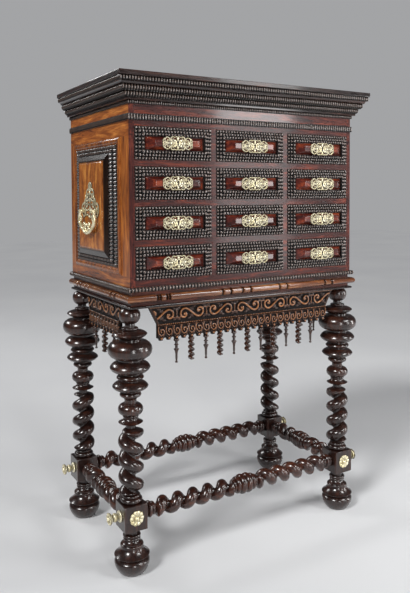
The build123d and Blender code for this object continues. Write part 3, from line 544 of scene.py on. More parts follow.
brass = gilt("gilt_brass", (246, 238, 206), (216, 202, 156), (40, 29, 18))
boss_shape = rosette(BOSS_RADIUS, BOSS_HEIGHT)
stem, stem_faces = lathe(stack(KNOB_STEM, 12, 0), 32)
stem = np.column_stack([stem, np.clip(1.2 - np.hypot(*stem.T[:2]) / 14, 0, 0.8)])
head = moved(rosette(KNOB_RADIUS, KNOB_HEAD, 8), (0, 0, KNOB_REACH - KNOB_HEAD))
knob_shape = joined((stem, stem_faces), head)
for corner, (x, y, hand) in LEGS.items():
    side = 1 if x > 0 else -1
    seats = [("knob", knob_shape, (x + side * half_block, y, STRETCHER_HEIGHT), (side, 0, 0))]
    if corner.startswith("front"):
        seats.append(("boss", boss_shape, (x, y - half_block, STRETCHER_HEIGHT), (0, -1, 0)))
    for kind, shape, place, out in seats:
        piece(f"{kind}_{corner}", shape, brass, node=["brass_mounts"],
              place=facing(place, out))

# ------------------------------------------------------------------------------------- stand frame
# A frame of four rails that the legs are tenoned into. Round its front and sides runs a fat half-
# round moulding, cut by pairs of notches with a reel between, above a small bead.
HALF_WIDTH, FRONT_Y, BACK_Y = 421, -237, 263
MIDDLE_Y = (FRONT_Y + BACK_Y) / 2
STAND_FRAME_TOP, STAND_INSET, RAIL_WIDTH = 846, 4, 62
HALF_ROUND_LOW, HALF_ROUND_HIGH, HALF_ROUND_REACH = 815, 836, 14
BEAD_HIGH, BEAD_REACH = 805, 6
NOTCH_PLACE, NOTCH_HALF, NOTCH_CUT = 15.5, 5.5, 0.5
FRONT_REELS, SIDE_REELS = (-312, -96, 124, 316), (-150, 150)


def welded(points, faces, edge=0.0):
    """A shape with doubled points joined, its faces turned outwards, and its sharp edges eased."""
    form = bmesh.new()
    hollow = form.verts.layers.float.new("hollow")
    corners = [form.verts.new(point[:3]) for point in points]
    if len(points[0]) == 4:
        for corner, point in zip(corners, points):
            corner[hollow] = point[3]
    for face in faces:
        form.faces.new([corners[n] for n in face])
    bmesh.ops.remove_doubles(form, verts=form.verts[:], dist=0.004)
    bmesh.ops.recalc_face_normals(form, faces=form.faces[:])
    form.verts.index_update()
    if edge:
        ease(form, edge)
    points = np.array([(*v.co, v[hollow]) for v in form.verts])
    faces = [[v.index for v in face.verts] for face in form.faces]
    form.free()
    return points, faces


def moulding(section, stations, length, mitres, bend, skew=1.0):
    """One length of moulding from 0 to length. The section's points are (in from the outer line,
    up, how hollow); bend gives them anew for each station; mitres says which ends are cut slanting,
    skew along for each 1 inward."""
    inward, up, own = np.array([(*point, 0.0)[:3] for point in section], float).T
    s = np.asarray(stations, float)[:, None]
    low = skew * inward if mitres[0] else 0 * inward
    high = length - skew * inward if mitres[1] else length + 0 * inward
    inward, up, hollow = bend(np.clip(s, low, high), inward, up)
    s = np.clip(s, skew * inward if mitres[0] else 0, length - skew * inward if mitres[1] else length)
    points, faces = grid(np.stack([s, inward, up, np.maximum(hollow, own)], axis=2))
    count, last = len(section), (len(stations) - 1) * len(section)
    if not mitres[0]:
        faces.append(list(range(count)))
    if not mitres[1]:
        faces.append(list(range(last, last + count)))
    return points, faces


def three_sides(section, bend, front_stations, side_stations):
    """A moulding round the front and both sides, mitred at the front corners. The section's points
    are (out of the cabinet's plane, height)."""
    most = max(point[0] for point in section)
    inset = [(most - point[0], *point[1:]) for point in section]
    across, along = 2 * (HALF_WIDTH + most), BACK_Y - FRONT_Y + most
    front, front_faces = moulding(inset, front_stations, across, (True, True), bend)
    side, side_faces = moulding(inset, side_stations, along, (True, False), bend)
    corner = np.array((-HALF_WIDTH - most, FRONT_Y - most, 0, 0))
    left = corner + side[:, [1, 0, 2, 3]]
    right = left * (-1, 1, 1, 1)
    return welded(*joined((corner + front, front_faces), (left, side_faces), (right, side_faces)))


def notched(middle, back, centres):
    """Bends a half-round so that V notches go round it, with a swelling reel between each pair."""
    def bend(s, inward, up):
        away = np.min([np.abs(s - centre) for centre in centres], axis=0)
        notch = 1 - NOTCH_CUT * np.clip(1 - away / NOTCH_HALF, 0, 1)
        # The third number marks the notches hollow, so the wood paints shade into them.
        return back + (inward - back) * notch, middle + (up - middle) * notch, 2 - 2 * notch + 0 * up
    return bend


def half_round(low, high, reach, back, steps=12):
    """The section of a half-round from back to reach."""
    radius = (high - low) / 2
    angle = np.linspace(-math.pi / 2, math.pi / 2, steps)
    nose = [(reach - radius + radius * math.cos(a), (low + high) / 2 + radius * math.sin(a)) for a in angle]
    return [(back, low)] + nose + [(back, high)]


def spaced(length, centres, step=14.0, fine=1.1, zone=8.0):
    """Places along a moulding, close together near some centres."""
    places = list(np.arange(0, length, step)) + [length]
    for centre in centres:
        places += list(np.arange(centre - zone, centre + zone, fine))
    return np.unique(np.round(np.clip(places, 0, length), 3))


red_wood = wood("red_brown_wood", (26, 10, 8), (58, 23, 16), (104, 46, 27), 0, 0.3, 0.02, coat=0.4)
moulded_wood = wood(
    "moulded_wood", (58, 28, 14), (104, 58, 30), (166, 112, 66), 0, 0.2, 0.014,
    coat=1.0, pores=0.1, reach=16)
dark_moulded = wood(
    "dark_moulded", (14, 7, 6), (30, 15, 11), (62, 32, 20), 0, 0.24, 0.02, coat=0.8, reach=16)
front_length, side_length = 2 * (HALF_WIDTH + HALF_ROUND_REACH), BACK_Y - FRONT_Y + HALF_ROUND_REACH
reels = [HALF_WIDTH + HALF_ROUND_REACH + p for p in FRONT_REELS]
reels += [MIDDLE_Y - FRONT_Y + HALF_ROUND_REACH + p for p in SIDE_REELS]
notches = [reel + d for reel in reels for d in (-NOTCH_PLACE, NOTCH_PLACE)]
torus = three_sides(
    half_round(HALF_ROUND_LOW, HALF_ROUND_HIGH, HALF_ROUND_REACH, -STAND_INSET),
    notched((HALF_ROUND_LOW + HALF_ROUND_HIGH) / 2, HALF_ROUND_REACH + STAND_INSET, notches),
    spaced(front_length, notches), spaced(side_length, notches))


def plain(s, inward, up):
    """No bend: the section runs on unchanged."""
    return inward + 0 * s, up + 0 * s, 0 * s + 0 * up


def straight_sides(section):
    """A smooth moulding round the front and both sides, from (reach, height) points."""
    most = max(point[0] for point in section)
    return three_sides(section, plain, (0, 2 * (HALF_WIDTH + most)), (0, BACK_Y - FRONT_Y + most))


bead = straight_sides(half_round(STAND_FRAME_BOTTOM, BEAD_HIGH, BEAD_REACH, -STAND_INSET, 8))
rail_x, rail_front = HALF_WIDTH - STAND_INSET, FRONT_Y + STAND_INSET
inner_x = rail_x - RAIL_WIDTH
RAILS = {
    "front": ((-rail_x, rail_front), (rail_x, rail_front + RAIL_WIDTH)),
    "back": ((-rail_x, BACK_Y - RAIL_WIDTH), (rail_x, BACK_Y)),
    "left": ((-rail_x, rail_front + RAIL_WIDTH), (-inner_x, BACK_Y - RAIL_WIDTH)),
    "right": ((inner_x, rail_front + RAIL_WIDTH), (rail_x, BACK_Y - RAIL_WIDTH)),
}
for side, (low, high) in RAILS.items():
    rail = chamfered_block((*low, STAND_FRAME_BOTTOM), (*high, STAND_FRAME_TOP), 0.7)
    piece(f"stand_rail_{side}", rail, red_wood, node=["stand_frame"])
piece("stand_half_round", torus, moulded_wood, node=["stand_frame"])
piece("stand_bead", bead, dark_moulded, node=["stand_frame"])

# ------------------------------------------------------------------------------------------ aprons
# Carved boards under the front and side rails. Each has a roped edge along the top, running scrolls
# with leaves on a sunk ground, a row of pearls, and a lower band of curled leaves with a ball at
# the tip of each. Turned spindles and corkscrews hang from every second or third of them.
APRON_INSET, APRON_THICK, APRON_PANEL, APRON_BAND = 20, 14, 56, 50
APRON_BOTTOM, APRON_SLANT, GROUND_DEPTH, RIM = -APRON_PANEL - APRON_BAND, 29, 5, 7
CURL_PITCH, SCALLOP, SCROLL_PITCH, PEARL_PITCH, ROPE_PITCH = 26.1, 8, 104.4, 6.5, 6.2
CARVING_CELL = 1.25
KNOB_AND_GAP = 32.5 + 16.5
FRONT_APRON = 2 * (LEG_X - KNOB_AND_GAP)
SIDE_APRON = LEG_BACK_Y - LEG_FRONT_Y - 2 * KNOB_AND_GAP


def relief(low, high, cell, edge, height, back):
    """A carved plate. It is there where edge(u, v) > 0, with its face at height(u, v) and a flat
    back. Low places and the back count as hollow."""
    u, v = np.meshgrid(*(np.arange(a, b + cell, cell) for a, b in zip(low, high)), indexing="ij")
    inside = edge(u, v) > 0
    corners = [np.arange(u.size).reshape(u.shape)[a:a + u.shape[0] - 1, b:b + u.shape[1] - 1]
               for a, b in ((0, 0), (1, 0), (1, 1), (0, 1))]
    quads = np.stack([c.ravel() for c in corners], axis=1)
    quads = quads[inside.ravel()[quads].any(axis=1)]
    used = np.unique(quads)
    quads = np.searchsorted(used, quads)
    u, v, inside = u.ravel()[used], v.ravel()[used], inside.ravel()[used]
    nudge = cell / 50
    for _ in range(4):
        gap = edge(u, v)
        slope_u = (edge(u + nudge, v) - edge(u - nudge, v)) / (2 * nudge)
        slope_v = (edge(u, v + nudge) - edge(u, v - nudge)) / (2 * nudge)
        move = np.where(inside, 0, gap / np.maximum(slope_u ** 2 + slope_v ** 2, 0.25))
        u, v = u - np.clip(move * slope_u, -cell, cell), v - np.clip(move * slope_v, -cell, cell)
    w = height(u, v)
    count = len(u)
    sides = np.vstack([quads[:, [a, (a + 1) % 4]] for a in range(4)])
    keys = set(map(tuple, sides))
    rim = [pair for pair in map(tuple, sides) if pair[::-1] not in keys]
    faces = quads.tolist() + (quads[:, ::-1] + count).tolist()
    faces += [[b, a, a + count, b + count] for a, b in rim]
    hollow = 1 - np.clip((w - w.min()) / (w.max() - w.min()), 0, 1)
    rear = np.stack([u, v, np.full(count, back), np.ones(count)], axis=1)
    return np.vstack([np.stack([u, v, w, hollow], axis=1), rear]), faces


def away_from(u, v, line):
    """How far each place lies from a line of points."""
    shape, u, v = u.shape, u.ravel(), v.ravel()
    near = np.full(u.shape, np.inf)
    for (a, b), (c, d) in zip(line[:-1], line[1:]):
        t = np.clip(((u - a) * (c - a) + (v - b) * (d - b)) / ((c - a) ** 2 + (d - b) ** 2), 0, 1)
        near = np.minimum(near, np.hypot(u - a - t * (c - a), v - b - t * (d - b)))
    return near.reshape(shape)


def spiral(centre, first, last, first_radius, last_radius, steps=26):
    """Points round a centre, angles in degrees, as the radius changes."""
    angle = np.radians(np.linspace(first, last, steps))
    radius = np.linspace(first_radius, last_radius, steps)
    return list(zip(centre[0] + radius * np.cos(angle), centre[1] + radius * np.sin(angle)))


def crowned(distance, half, crown):
    """The height of a rounded stroke of some half width, at a distance from its middle."""
    return crown * np.sqrt(np.clip(1 - (distance / half) ** 2, 0, 1))


def leaf(u, v, centre, turn, length, half):
    """The height of a pointed leaf with a vein, from 0 to 1."""
    turn = math.radians(turn)
    a = ((u - centre[0]) * math.cos(turn) + (v - centre[1]) * math.sin(turn)) / length
    b = ((v - centre[1]) * math.cos(turn) - (u - centre[0]) * math.sin(turn)) / half
    body = 1 - np.abs(a) ** 1.7 - np.abs(b)
    return np.sqrt(np.clip(body, 0, 1)) * (1 - 0.45 * np.exp(-((b / 0.16) ** 2)))


ramp = np.linspace(0, 1, 16)[1:-1]
SCROLL = (
    spiral((-26, -3), 20, -270, 5, 17)
    + [(-26 + 52 * t, 14 * math.cos(math.pi * t)) for t in ramp]
    + spiral((26, 3), -90, 200, 17, 5)
)
LINK = spiral((43, 2), 150, 40, 8, 13, 10) + spiral((61, -2), 220, 330, 13, 8, 10)
CURL = ((-9.5, 8), (-11, 17), (-9, 28), (-2, 35), (6, 33), (9, 25), (6, 17), (0, 16), (-3, 21), (0, 26))
SHEATH = ((11.5, 8), (12.3, 18), (11.5, 30), (7, 39), (0, 43))
LEAVES = (
    ((0, 11), -32, 10.8, 5.625), ((52.2, 12), 90, 9.6, 6.25), ((52.2, -12), 90, 9.6, 6.25),
    ((43, -16), 40, 8.4, 5), ((45, 17), -35, 8.4, 5), ((8, 17), 15, 9.6, 4.375),
)


def carving(half_top):
    """The face of an apron: how far it is inside the outline, and its height."""
    def inside_ends(u, v):
        return half_top + np.maximum(v, -APRON_PANEL) * APRON_SLANT / APRON_PANEL - np.abs(u)

    def edge(u, v):
        between = (u / CURL_PITCH) % 1 - 0.5
        scallop = np.hypot(between * CURL_PITCH, v - APRON_BOTTOM) - SCALLOP
        return np.minimum.reduce([-v, inside_ends(u, v), v - APRON_BOTTOM, scallop])

    def height(u, v):
        ground, top = APRON_THICK / 2 - GROUND_DEPTH, APRON_THICK / 2
        unit = np.round(u / SCROLL_PITCH)
        x, y = u - unit * SCROLL_PITCH, (v + APRON_PANEL / 2) * np.where(unit % 2 == 0, 1, -1)
        carved = [crowned(away_from(x, y, SCROLL), 4.2, 4.9)]
        carved.append(crowned(np.hypot(np.abs(x) - 26, np.abs(y) - 3 * np.sign(x * y)), 5.2, 4.9))
        for side in (1, -1):
            carved.append(crowned(away_from(side * x, side * y, LINK), 2.9, 3.8))
            carved += [4.0 * leaf(side * x, side * y, *one) for one in LEAVES]
        carved = np.maximum.reduce(carved)
        rim = -np.clip(np.minimum(-v, inside_ends(u, v)) - RIM, -1, 0)
        twist = 0.5 + 0.5 * np.cos(2 * math.pi * (u + 1.1 * v) / ROPE_PITCH)
        rope_edge = crowned(v + 3.6, 3.4, 3.4) * (0.55 + 0.45 * np.sqrt(twist)) + 1.2
        upper = np.where(rim > 0.5, np.where(-v < RIM, rope_edge, 2.4), carved)

        x = ((u / CURL_PITCH + 0.5) % 1 - 0.5) * CURL_PITCH
        down = -(v + APRON_PANEL)
        pearl = ((u / PEARL_PITCH + 0.5) % 1 - 0.5) * PEARL_PITCH
        pearls = crowned(np.hypot(pearl, down - 1.5), 3.1, 4.6)
        x = x * np.where(u < 0, 1, -1)
        curled = np.maximum.reduce([
            crowned(away_from(x, down, CURL), 2.6, 4.4), crowned(away_from(x, down, SHEATH), 2.0, 3.4),
            crowned(away_from(-x, down, SHEATH), 1.5, 2.4), crowned(np.hypot(x, down - 44), 5.0, 5.0),
            crowned(down - 6.5, 1.6, 3.4)])
        lower = np.maximum(pearls, np.where(down > 5, curled, 0))
        return ground + np.minimum(np.where(v > -APRON_PANEL, upper, lower), top - ground)

    return edge, height


def carved_finish(name, ground, middle, crest):
    """Walnut rubbed golden on its crests, with painted shade that turns its sunk ground and hollows black.
    """
    material, shader, place = blank_finish(name)
    low = place.hollow()
    fibres = place.stretched(0, 0.12).clouds(0.004, 3.0)
    # The colour runs from the golden of the rubbed crests down to black painted shade in the hollows and
    # the sunk ground.
    worn = (low * -1.0 + fibres * 0.34 + 0.83).toned(ground, middle, crest, stops=(0.2, 0.62, 0.98))
    feed(
        shader,
        Base_Color=worn * place.clouds(0.05).over(0.3, 0.7, 0.7, 1.25),
        Roughness=low * 0.3 + 0.28,
        Specular_IOR_Level=0.15,
        Normal=raised(fibres, 0.0004, 0.3),
        Coat_Weight=low.over(0.2, 0.8, 0.9, 0.0),
        Coat_Roughness=0.15,
    )
    return material


# The ground colour is painted shade.
carved_wood = carved_finish("carved_wood", (14, 7, 5), (54, 28, 15), (140, 88, 46))
drop_wood = wood("drop_wood", (18, 9, 7), (44, 22, 14), (92, 50, 28), 2, 0.24, 0.008, coat=0.9)
SPINDLE = (
    ("bead", 6, 4.4, 2.2), ("neck", 34, 3.6, 7), ("bead", 4, 8.4, 5), ("neck", 10, 4.4, 4),
    ("bead", 4, 7, 4.5), ("neck", 9, 4.2, 5), ("bead", 7, 9, 7),
)
SPINDLE_LENGTH, SCREW_HEAD, SCREW_LENGTH, SCREW_RADIUS, SCREW_PITCH = 74, 9, 62, 10.6, 15.5
spindle_shape = lathe([(1.5, 0)] + stack(SPINDLE, 1.6, 0) + [(3, SPINDLE_LENGTH)], 28)
screw_top = lathe(stack((("bead", SCREW_HEAD, 10, 8),), 5, -SCREW_HEAD), 28)
screw_body = rope(SCREW_HEAD, SCREW_LENGTH, SCREW_RADIUS, 2.6, SCREW_PITCH, -1, 3,
                  run_in=5, sides=28, step=1.0)
screw_shape = joined(screw_top, moved(screw_body, flip=(1, -1, -1)))
front_plane = FRONT_Y + APRON_INSET
side_plane = HALF_WIDTH - APRON_INSET
APRONS = {
    "front": (FRONT_APRON, (0, front_plane, STAND_FRAME_BOTTOM), (0, -1, 0), 11, 52.2),
    "left": (SIDE_APRON, (-side_plane, MIDDLE_Y, STAND_FRAME_BOTTOM), (-1, 0, 0), 3, 78.3),
    "right": (SIDE_APRON, (side_plane, MIDDLE_Y, STAND_FRAME_BOTTOM), (1, 0, 0), 3, 78.3),
}
for side, (length, place, out, count, pitch) in APRONS.items():
    low, high = (-length / 2, APRON_BOTTOM), (length / 2, 0)
    board = relief(low, high, CARVING_CELL, *carving(length / 2), -APRON_THICK / 2)
    stand = facing(place, out)
    piece(f"apron_{side}_board", board, carved_wood, node=[f"apron_{side}"],
          place=stand, smooth=60)
    for number in range(count):
        across = (number - (count - 1) / 2) * pitch
        hang = stand @ at(across, APRON_BOTTOM, 0) @ Matrix.Rotation(-math.pi / 2, 4, "X")
        drop = screw_shape
        if number % 2 == 0:
            drop = spindle_shape
            hang = hang @ at(0, 0, -SPINDLE_LENGTH)
        piece(f"apron_{side}_drop_{number + 1}", drop, drop_wood, place=hang)

# -------------------------------------------------------------------------------------- base board
# The board that the cabinet stands on, with a bold ripple worked along its front and side edges.
BODY_BOTTOM, BASE_REACH, CORE_REACH = 860, 12, 3


def ripple(pitch, depth, backed):
    """Bends a section so that rounded crests cross it. Points at the back, where backed, stay."""
    def bend(s, inward, up):
        # The valleys are marked hollow, so the rippled finish paints shade in them and a highlight on the
        # crests.
        low = (1 - np.abs(np.sin(math.pi * s / pitch))) * ~backed
        return inward + depth * low, up + 0 * s, low
    return bend


def rippled_sides(section, pitch, depth, samples=6):
    """A rippled moulding round the front and both sides, from (reach, height) points."""
    most, least = (limit(point[0] for point in section) for limit in (max, min))
    across, along = 2 * (HALF_WIDTH + most), BACK_Y - FRONT_Y + most
    pitch = across / round(across / pitch)
    backed = np.array([point[0] <= least for point in section])
    count = round(across / pitch) * samples
    side = np.append(np.arange(0, along, pitch / samples), along)
    return three_sides(section, ripple(pitch, depth, backed), np.linspace(0, across, count + 1), side)


def rippled_finish(name, crest, valley):
    """Black wood with painted highlights on the crests of its ripples and painted shade in the valleys."""
    material, shader, place = blank_finish(name)
    low = place.hollow()
    worn = place.clouds(0.05, 2.0).over(0.3, 0.7, -0.06, 0.06)
    black = (0.0012, 0.0008, 0.0008)
    # The crest colour is a painted highlight, and the valley colour and the black are painted shade; worn
    # shifts where they fall a little at random.
    tone = (low + worn).shade((0.1, colour(*crest)), (0.38, colour(*valley)), (1.0, black))
    feed(
        shader,
        Base_Color=tone,
        Roughness=low.over(0.0, 0.6, 0.2, 0.5),
        Specular_IOR_Level=0.3,
        Coat_Weight=low.over(0.1, 0.45, 1.0, 0.0),
        Coat_Roughness=0.16,
        Normal=raised(place.clouds(0.002, 2.0), 0.0001, 0.1),
    )
    return material


# Painted highlight on the ripple crests, painted shade in the valleys.
ebony = rippled_finish("ebony", (92, 76, 68), (12, 7, 6))
base_edge = half_round(STAND_FRAME_TOP, BODY_BOTTOM, BASE_REACH, 0, 9)
core_x = HALF_WIDTH + CORE_REACH
base_core = chamfered_block(
    (-core_x, FRONT_Y - CORE_REACH, STAND_FRAME_TOP), (core_x, BACK_Y, BODY_BOTTOM), 0.6)
piece("base_board_core", base_core, red_wood, node=["base_board"])
piece("base_board_ripple", rippled_sides(base_edge, pitch=11, depth=2.8), ebony, node=["base_board"])

# ----------------------------------------------------------------------------------------- carcass
# The box: two solid sides, a bottom, a top, a back of softer wood, and the dust boards and
# partitions between the drawers, whose polished front edges show as rails and stiles.
CARCASS_SIDE, CELLS_BOTTOM, SLAB_BOTTOM = 17, 880, 1464.5
FRAME_LONG, FRAME_TALL, FRAME_Y, FRAME_Z = 393, 409.5, 19.5, 1095.75
FRONT_COLOURS = (30, 10, 9), (62, 22, 17), (112, 46, 28)


def finish_node(node, finish):
    """Gives a finish to a piece that keeps its own shape."""
    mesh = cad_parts[node].data
    mesh.materials.clear()
    mesh.materials.append(finish)


def aged_board(name, dark, middle, light, along):
    """Unpolished wood, brushed with dirt in broad patches."""
    material, shader, place = blank_finish(name)
    fibres = place.stretched(along, 0.07)
    lines = fibres.clouds(0.003, 3.0)
    tone = (fibres.clouds(0.03, 3.0, 1.6) * 0.6 + lines * 0.4).toned(dark, middle, light)
    feed(
        shader,
        Base_Color=tone * place.clouds(0.12, 3.0).over(0.3, 0.7, 0.75, 1.12),
        Roughness=lines * 0.2 + 0.55,
        Normal=raised(lines, 0.0004, 0.4),
    )
    return material


def side_finish():
    """Golden wood, its grain upright on the stiles and level on the rails: a painted lit copy of the
    dark red front wood, which shows on the front edge of the board."""
    material, shader, place = blank_finish("side_wood")
    depth, height = (place.through("ShaderNodeSeparateXYZ", {}, {0: place}, axis) for axis in (1, 2))
    from_middle = height - FRAME_Z * MM
    rail = from_middle.sum("ABSOLUTE", from_middle, 0.0)
    rail = rail.over(FRAME_TALL / 2 * MM - 0.0003, FRAME_TALL / 2 * MM + 0.0003)
    upright, level = (fibres.clouds(0.02, 4.0, 1.1) * 0.66 + fibres.clouds(0.003, 3.0, 0.4) * 0.34
                      for fibres in (place.stretched(2, 0.11), place.stretched(1, 0.11)))
    tone = upright + (level - upright) * rail
    # The golden is painted light, a lit copy of the red front wood; the red on the front edge is the wood's
    # own colour.
    golden = tone.toned((84, 38, 14), (144, 78, 28), (196, 122, 52))
    red = tone.toned(*FRONT_COLOURS)
    edge = depth.over((FRONT_Y + 1.6) * MM, (FRONT_Y + 0.8) * MM)
    feed(
        shader,
        Base_Color=edge.toward(golden * place.clouds(0.16).over(0.3, 0.7, 0.8, 1.15), red),
        Roughness=tone * 0.2 + 0.2,
        Specular_IOR_Level=0.25,
        Normal=raised(tone, 0.0003, 0.2),
        Coat_Weight=0.35,
        Coat_Roughness=0.12,
    )
    return material


front_wood = wood("front_wood", *FRONT_COLOURS, 0, 0.34, 0.018, coat=0.3)
side_wood = side_finish()
box_wood = aged_board("box_wood", (96, 62, 36), (134, 92, 56), (168, 124, 80), 1)
back_wood = aged_board("back_wood", (70, 44, 27), (104, 70, 44), (136, 98, 64), 2)
for node, finish in {
    "carcass_side_left": side_wood, "carcass_side_right": side_wood, "drawer_dividers": front_wood,
    "carcass_bottom": front_wood, "carcass_top": box_wood, "back_panel": back_wood,
}.items():
    finish_node(node, finish)

# ------------------------------------------------------------------------------------- side panels
# On each side a fielded panel of figured golden wood in a broad rippled frame, with a smooth
# moulding round the outside. All are glued on the carcass side.
SMOOTH_WIDTH, RIPPLE_LOW_WIDTH, RIPPLE_UPRIGHT_WIDTH = 21, 24, 47
PANEL_EDGE, PANEL_RISE, PANEL_SLOPE = 13, 22, 24


def ring(width, height, section, pitch=0.0, depth=0.0, samples=6, upright_width=None):
    """Four mitred lengths of moulding round a rectangle, lying flat and centred. The uprights may
    be wider, and then the ripples die out toward the mitres."""
    own_width = max(point[0] for point in section)
    upright_width = upright_width or own_width
    wide_section = [(point[0] * upright_width / own_width, *point[1:]) for point in section]
    zone = max(own_width, upright_width) + 1
    grounded = np.array([point[1] <= 0 for point in section])
    lengths = []
    corners = ((-1, -1), (1, -1), (1, 1), (-1, 1))
    for number, length in enumerate((width, height, width, height)):
        drawn = wide_section if number % 2 else section
        skew = own_width / upright_width if number % 2 else upright_width / own_width
        bend, stations = plain, (0, length)
        if pitch:
            dense = np.linspace(0, length, 2000)
            spare = round(length / pitch) - length / pitch
            phase = dense / pitch + spare * np.clip((dense - zone) / (length - 2 * zone), 0, 1)
            stations = np.interp(np.arange(0, round(length / pitch) * samples + 1) / samples, phase, dense)

            def bend(s, inward, up, dense=dense, phase=phase, length=length, skew=skew):
                # The valleys are marked hollow, for painted shade in them and a painted highlight on the
                # crests.
                wave = (1 - np.abs(np.sin(math.pi * np.interp(s, dense, phase)))) * ~grounded
                if skew != 1:
                    wave = wave * np.clip(np.minimum(s, length - s) / 3 - skew * inward / 3, 0, 1)
                return inward + 0 * s, up - depth * wave, wave
        points, faces = moulding(drawn, stations, length, (True, True), bend, skew)
        c, s = round(math.cos(number * math.pi / 2)), round(math.sin(number * math.pi / 2))
        turned = points @ np.array([(c, s, 0, 0), (-s, c, 0, 0), (0, 0, 1, 0), (0, 0, 0, 1)])
        start = (corners[number][0] * width / 2, corners[number][1] * height / 2, 0, 0)
        lengths.append((turned + start, faces))
    return welded(*joined(*lengths))


def stepped(levels, edge):
    """A panel built up of rectangles, each (width, height, level) and then how dark it is painted as
    shade, where that is given, with its edges eased."""
    points, faces = [], []
    for width, height, *level in levels:
        for a, b in ((-1, -1), (1, -1), (1, 1), (-1, 1)):
            points.append((a * width / 2, b * height / 2, *level))
    for step in range(len(levels) - 1):
        for side in range(4):
            low, after = 4 * step + side, 4 * step + (side + 1) % 4
            faces.append([low, after, after + 4, low + 4])
    faces += [[3, 2, 1, 0], [len(points) - 4 + n for n in range(4)]]
    return welded(points, faces, edge)


def strip(start, width, low, high, round_off):
    """The section of one rounded strip, from (inward, up) start to start + width."""
    places = (0.0, 0.10, 0.32, 0.68, 0.90, 1.0)
    drop = (1.0, 0.40, 0.04, 0.04, 0.40, 1.0)
    # The third number darkens the rounded edges between strips as painted shade.
    return [(start + width * p, low + (high - low) * p - round_off * d, 0.9 * d)
            for p, d in zip(places, drop)]


def figured(name, dark, middle, light, along, coat=0.85):
    """Showy wood: broad wandering figure with darker swirls, under a deep polish. Painted shade
    turns it black where it is marked hollow.
    """
    material, shader, place = blank_finish(name)
    bands = place.stretched(along, 0.25).clouds(0.05, 5.0, 2.6)
    lines = place.stretched(along, 0.08).clouds(0.004, 3.0, 0.5)
    tone = bands * 0.55 + place.clouds(0.11, 3.0, 3.2) * 0.25 + lines * 0.2
    tone = tone.toned(dark, middle, light, stops=(0.36, 0.5, 0.62))
    # Marked places, such as the panel's bevels, are darkened as painted shade.
    low = place.hollow()
    feed(
        shader,
        Base_Color=tone * low.over(0.0, 0.6, 1.0, 0.03),
        Roughness=lines * 0.14 + 0.22,
        Specular_IOR_Level=0.25,
        Normal=raised(lines, 0.0003, 0.2),
        Coat_Weight=coat,
        Coat_Roughness=0.1,
    )
    return material


side_moulded = wood(
    "side_moulded", (70, 32, 12), (122, 64, 24), (176, 108, 48), 1, 0.27, 0.012, coat=0.6)
panel_wood = figured("panel_wood", (92, 42, 14), (160, 92, 34), (206, 138, 62), 1, coat=0.4)
smooth_section = [(0, 0), (0, 2.6), (2.4, 3.4), (3.2, 5.0), (6.0, 6.6), (9.5, 7), (13.0, 6.4), (15.6, 5.0),
                  (16.2, 4.0), (18.6, 4.2), (19.4, 3.0), (21, 3), (21, 0)]
ripple_section = [(0, 0)] + strip(0, 12, 6.4, 8.4, 1.5) + strip(12, 12, 10.8, 12.8, 1.5) + [(24, 0)]
inner_long, inner_tall = FRAME_LONG - 2 * SMOOTH_WIDTH, FRAME_TALL - 2 * SMOOTH_WIDTH
panel_long = inner_long - 2 * RIPPLE_UPRIGHT_WIDTH - 1
panel_tall = inner_tall - 2 * RIPPLE_LOW_WIDTH - 1
# The fourth numbers paint the panel's foot and bevels dark as shade, fading out on the field.
panel_levels = [
    (panel_long, panel_tall, 0, 1), (panel_long, panel_tall, PANEL_EDGE, 1),
    (panel_long - 1.3 * PANEL_SLOPE, panel_tall - 1.3 * PANEL_SLOPE, PANEL_EDGE + 6.5, 0.8),
    (panel_long - 2 * PANEL_SLOPE, panel_tall - 2 * PANEL_SLOPE, PANEL_RISE - 1.0, 0.1),
    (panel_long - 2 * PANEL_SLOPE - 2, panel_tall - 2 * PANEL_SLOPE - 2, PANEL_RISE, 0),
]
SIDE_PARTS = (
    ("smooth", ring(FRAME_LONG, FRAME_TALL, smooth_section), side_moulded),
    ("ripple", ring(inner_long, inner_tall, ripple_section, 12, 3.2, 8, RIPPLE_UPRIGHT_WIDTH), ebony),
    ("field", stepped(panel_levels, 0.5), panel_wood),
)
SIDES = ((-1, "left"), (1, "right"))
for hand, side in SIDES:
    stand = facing((hand * HALF_WIDTH, FRAME_Y, FRAME_Z), (hand, 0, 0))
    for part, shape, finish in SIDE_PARTS:
        piece(f"side_{side}_{part}", shape, finish, node=["side_frames"],
              place=stand)

# ----------------------------------------------------------------------------------- handle plates
# A pierced brass plate of mirrored scrolls on each side panel, pinned at its edges, with two eared
# studs riveted through it that take the ends of the bail.
PLATE_THICK, PIVOT_Z, STANDOFF, BAIL_HALF, EAR_PLACE = 2.5, 1078, 10, 62, 51.5


def curve(*points, steps=7):
    """A smooth line through given points."""
    p = [np.array(point, float) for point in (points[0], *points, points[-1])]
    line = []
    for a, b, c, d in zip(p, p[1:], p[2:], p[3:]):
        for t in np.linspace(0, 1, steps, endpoint=False):
            line.append(0.5 * (2 * b + (c - a) * t + (2 * a - 5 * b + 4 * c - d) * t ** 2
                               + (3 * b - a - 3 * c + d) * t ** 3))
    return [tuple(q) for q in line] + [tuple(p[-1])]


def scrollwork(strokes, rounds, cut=None):
    """A pierced plate as its outline and height: lines and rounds, each with a half width."""
    def edge(u, v):
        across = np.abs(u)
        solid = [half - away_from(across, v, line) for line, half in strokes]
        solid += [radius - np.hypot(across - a, v - b) for a, b, radius in rounds]
        whole = np.maximum.reduce(solid)
        return np.minimum(whole, cut(u, v)) if cut else whole

    def height(u, v):
        e = np.clip(edge(u, v), 0, None)
        chased = 0.5 * np.exp(-(((e - 1.5) / 0.5) ** 2))
        return 0.9 + 1.9 * (1 - np.exp(-e / 1.6)) - chased
    return edge, height


